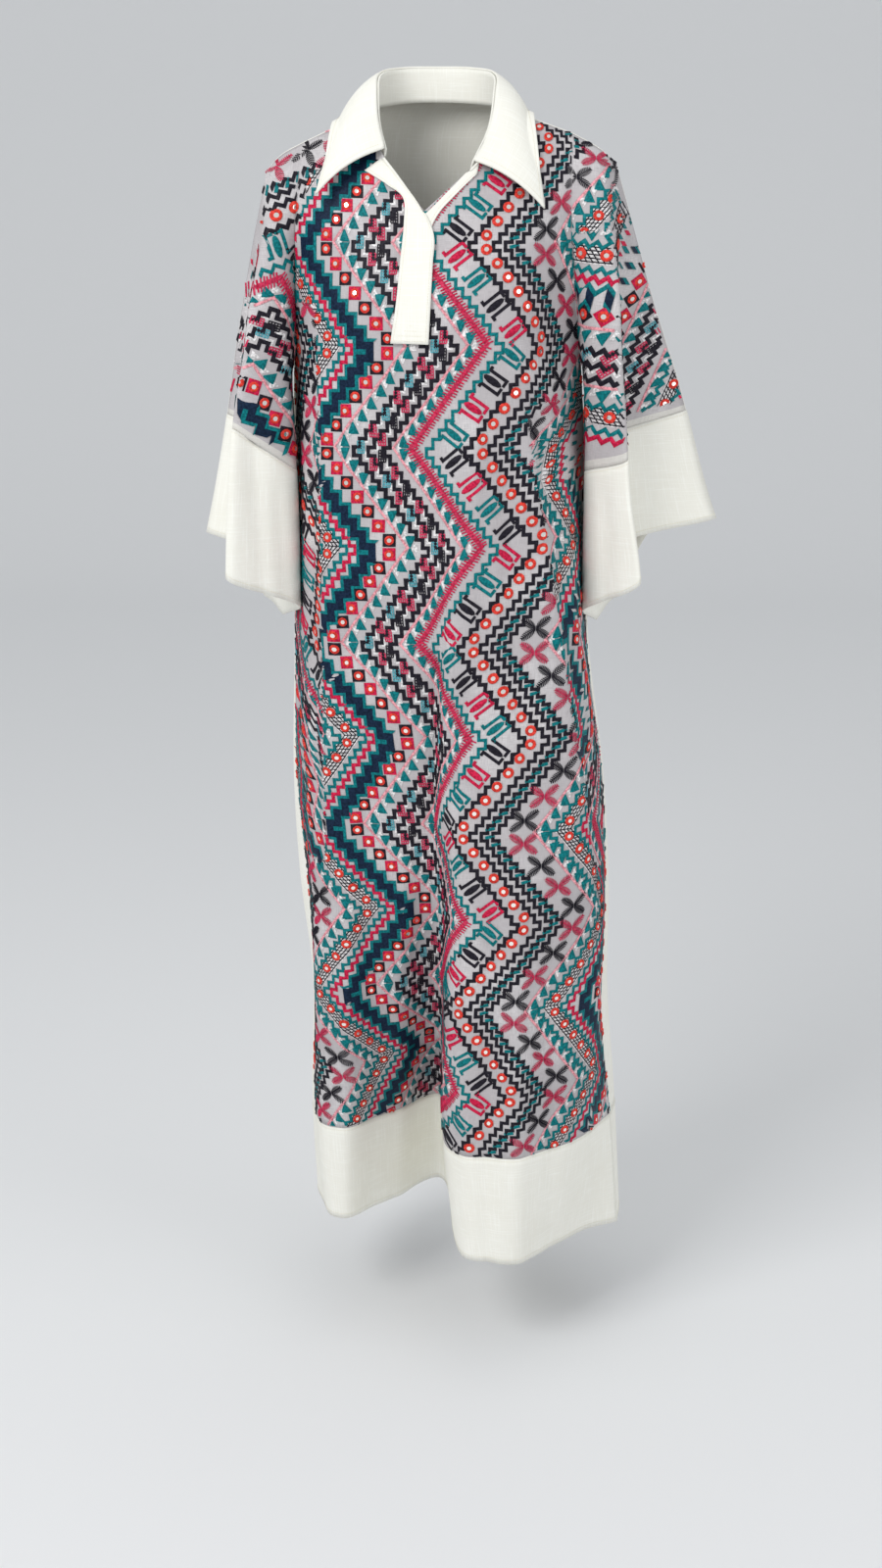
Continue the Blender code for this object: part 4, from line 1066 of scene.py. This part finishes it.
# Collar fall: the pointed collar of doubled linen, sewn to the stand's crest. It rolls over the stand and
# lies down over the shoulders, clear of the panels under it.
CLEAR, WITHIN = 0.0060, 0.03        # least height of its inner side over panels within this distance
panel_tree = BVHTree.FromPolygons(
    np.concatenate([front_points, back_points]).tolist(),
    np.concatenate([front_faces, back_faces + len(front_points)]).tolist(),
)
t = np.linspace(0.0, 1.0, 29)[:, None, None]
ROLL_UP, ROLL_OUT = 0.012, 0.010    # how far the fall's curve is drawn up and out between its edges
rise = np.array([0.0, 0.0, ROLL_UP]) - inwards * ROLL_OUT
grid = roll_line * (1 - t) ** 2 + ((roll_line + fall_line) / 2 + rise) * 2 * t * (1 - t) + fall_line * t**2
for r, c in np.ndindex(grid.shape[:2]):
    point = Vector(grid[r, c])
    near, normal, _, _ = panel_tree.find_nearest(point)
    above = (point - near).dot(normal)
    if (point - near).length < WITHIN and above < CLEAR:
        grid[r, c] = point + normal * (CLEAR - above)
grid = grid[:, ::-1]
collar_fall, fall_outer = linen_piece("collar_fall", grid, along, travelled(grid))

# Placket: two strips of doubled linen sewn over the slit of the front, the upper lapped over the lower. The
# lower one runs on up the image-right side of the V. Each edge is given as x and drop in millimetres.
PLACKET_OUTER = ((-73, 49), (-52, 62), (-34, 76), (-33, 100), (-37, 140), (-41, 180), (-45, 217))
PLACKET_INNER = ((-53, 35), (-32, 62), (-13, 90), (-3, 112), (-4, 140), (-6, 180), (-8, 218))
UNDER_OUTER = ((40, 52), (20, 71), (2, 90), (-6, 106), (-7, 140), (-9, 180), (-11, 216))
UNDER_INNER = ((43, 37), (18, 62), (-9, 88), (-31, 106), (-33, 140), (-37, 180), (-41, 215))
UNDER_LIFT = WALL + 0.0005
OVER_LIFT = WALL + BAND_WALL + 0.0010
front_tree = BVHTree.FromPolygons(front_points.tolist(), front_faces.tolist())


def on_panel(x, z, lift):
    hit, normal, _, _ = front_tree.ray_cast(Vector((x, -1.0, z)), Vector((0.0, 1.0, 0.0)))
    if hit is None:
        hit, normal, _, _ = front_tree.find_nearest(Vector((x, -0.08, z)))
        hit = Vector((x, hit.y, z))
    return np.array(hit + normal * lift)


def strip(node, left, right, lift):
    """A strip on the front between two edges; it lies close at the top and rises to lift over the lap."""
    rows = np.linspace(0.0, len(left) - 1, 65)
    a, b = (curve(np.array(side, float) * MM, rows) * (1, -1) for side in (left, right))
    rise = np.clip(rows / 2.0, 0.0, 1.0) * (lift - UNDER_LIFT) + UNDER_LIFT
    t = np.linspace(0.0, 1.0, 13)
    grid = np.array([[on_panel(*(a[r] * (1 - s) + b[r] * s), rise[r]) for s in t] for r in range(len(rows))])
    return linen_piece(node, grid, grid[..., 0])


placket_under, under_outer = strip("placket_under", UNDER_INNER, UNDER_OUTER, UNDER_LIFT)
placket, placket_outer = strip("placket", PLACKET_OUTER, PLACKET_INNER, OVER_LIFT)

# Topstitching: short stitches of cream thread in rows beside the edges and seams of the linen pieces, which
# they hold flat. Each stitch is a low ridge on the cloth.
STITCH, PITCH, THREAD = 0.0018, 0.0027, 0.0006
THREAD_FOOT, THREAD_CREST = 0.00005, 0.0004        # heights of a stitch's sides and ridge over the cloth
thread, _, _ = material_of("Cream thread", (0.86, 0.82, 0.68, 1), 0.7, Specular_IOR_Level=0.2)


def surface(grid):
    """A grid of surface points together with their normals."""
    normals = normals_of(grid.reshape(-1, 3), grid_faces(numbered(grid)))
    return np.concatenate([grid, normals.reshape(grid.shape)], axis=2)


def stitch_row(grid, inset, around):
    """Little stitches along the last row of a surface, inset from it; around joins its ends."""
    grid = grid[::-1]
    down = travelled(grid[:, :, :3])
    line = np.array([[np.interp(inset, down[:, c], grid[:, c, k]) for k in range(6)]
                     for c in range(grid.shape[1])])
    if around:
        line = np.concatenate([line, line[:1]])
    run = travelled(line[:, :3])
    starts = np.arange(0.0 if around else inset, run[-1] - (PITCH if around else inset), PITCH)
    a, b = (np.stack([np.interp(starts + s, run, line[:, k]) for k in range(6)], axis=1)
            for s in (0.0, STITCH))
    a, b, normal = a[:, :3], b[:, :3], unit(a[:, 3:])
    side = unit(np.cross(b - a, normal)) * THREAD / 2
    low, high = normal * THREAD_FOOT, normal * THREAD_CREST
    points = np.stack([end + way for end in (a, b) for way in (low - side, high, low + side)], axis=1)
    first = np.arange(len(starts))[:, None, None] * 6
    return points.reshape(-1, 3), (first + np.array([[1, 4, 3, 0], [2, 5, 4, 1]])).reshape(-1, 4)


# Each row: the surface, turned so that its last row is the edge, its inset, and whether it goes around.
fall, over, under = surface(fall_outer), surface(placket_outer), surface(under_outer)
rows = [(fall, 0.006), (fall.swapaxes(0, 1), 0.006), (fall[:, ::-1].swapaxes(0, 1), 0.006)]
rows += [(over.swapaxes(0, 1), 0.003), (over[:, ::-1].swapaxes(0, 1), 0.003), (under.swapaxes(0, 1), 0.003)]
rows += [(over, inset) for inset in (0.003, 0.008, 0.013, 0.018)]
for band in (surface(hem_front_outer), surface(hem_back_outer)):
    rows += [(band, 0.006), (band[::-1], 0.003)]
rows = [(*row, False) for row in rows]
for band in (surface(cuff_l_outer), surface(cuff_r_outer)):
    rows += [(band, 0.005, True), (band[::-1], 0.003, True)]
points, faces = [], []
for row in rows:
    row_points, row_faces = stitch_row(*row)
    faces.append(row_faces + sum(len(p) for p in points))
    points.append(row_points)
topstitching = mesh_object("topstitching", np.concatenate(points), np.concatenate(faces), thread)

# Floor and backdrop: one plain pale sheet, matt and even. It lies 1.39 m below the shoulders and turns up in
# a wide curve behind the kaftan.
FLOOR_Z, FLOOR_START, CURVE_START, CURVE_RADIUS, BACKDROP_TOP, HALF_WIDTH = -1.39, -6.0, 4.4, 1.6, 6.0, 7.0
profile = [(FLOOR_START, 0.0)]
for a in np.linspace(0, math.pi / 2, 17):
    profile.append((CURVE_START + CURVE_RADIUS * math.sin(a), CURVE_RADIUS - CURVE_RADIUS * math.cos(a)))
profile.append((CURVE_START + CURVE_RADIUS, BACKDROP_TOP))
floor_mesh = bpy.data.meshes.new("floor")
floor_mesh.from_pydata([(x, y, z + FLOOR_Z) for y, z in profile for x in (-HALF_WIDTH, HALF_WIDTH)], [],
                       [(2 * k, 2 * k + 1, 2 * k + 3, 2 * k + 2) for k in range(len(profile) - 1)])
floor_mesh.shade_smooth()
pale, _, _ = material_of("Pale floor", (0.84, 0.845, 0.85, 1), 0.9)
floor_mesh.materials.append(pale)
placed("floor", floor_mesh)

# Light: an even pale surround, a large soft lamp from the upper left in front, and a weaker one from the
# right that opens the shadows.
world = bpy.data.worlds.new("Studio")
bpy.context.scene.world = world
world.use_nodes = True
surround = world.node_tree.nodes["Background"]
surround.inputs["Color"].default_value = (0.80, 0.82, 0.84, 1)
surround.inputs["Strength"].default_value = 0.74
AIM = Vector((0, 0, -0.5))
LAMPS = (("Key", (-1.7, -2.3, 1.7), 1.6, 62.0), ("Fill", (2.2, -1.6, 0.6), 2.0, 14.0))
for name, place, size, power in LAMPS:
    lamp_data = bpy.data.lights.new(name, "AREA")
    lamp_data.size = size
    lamp_data.energy = power
    lamp = placed(name, lamp_data)
    lamp.location = place
    lamp.rotation_euler = (AIM - Vector(place)).to_track_quat("-Z", "Y").to_euler()

# Camera: level with the shoulders, 2.5 m in front of them and looking down, as the one that took the
# photograph was worked out to be.
LOOKING_DOWN = 15.8        # degrees
FOCAL_SHARE = 2349 / 1600  # focal length over the height of the picture
SENSOR = 36.0
camera_data = bpy.data.cameras.new("Camera")
camera_data.sensor_fit = "VERTICAL"
camera_data.sensor_height = SENSOR
camera_data.lens = FOCAL_SHARE * SENSOR
camera = placed("Camera", camera_data)
camera.location = (0.004, -2.5, -0.01)
camera.rotation_euler = (math.radians(90 - LOOKING_DOWN), 0.0, 0.0)
bpy.context.scene.camera = camera
bpy.context.scene.view_settings.view_transform = "Standard"
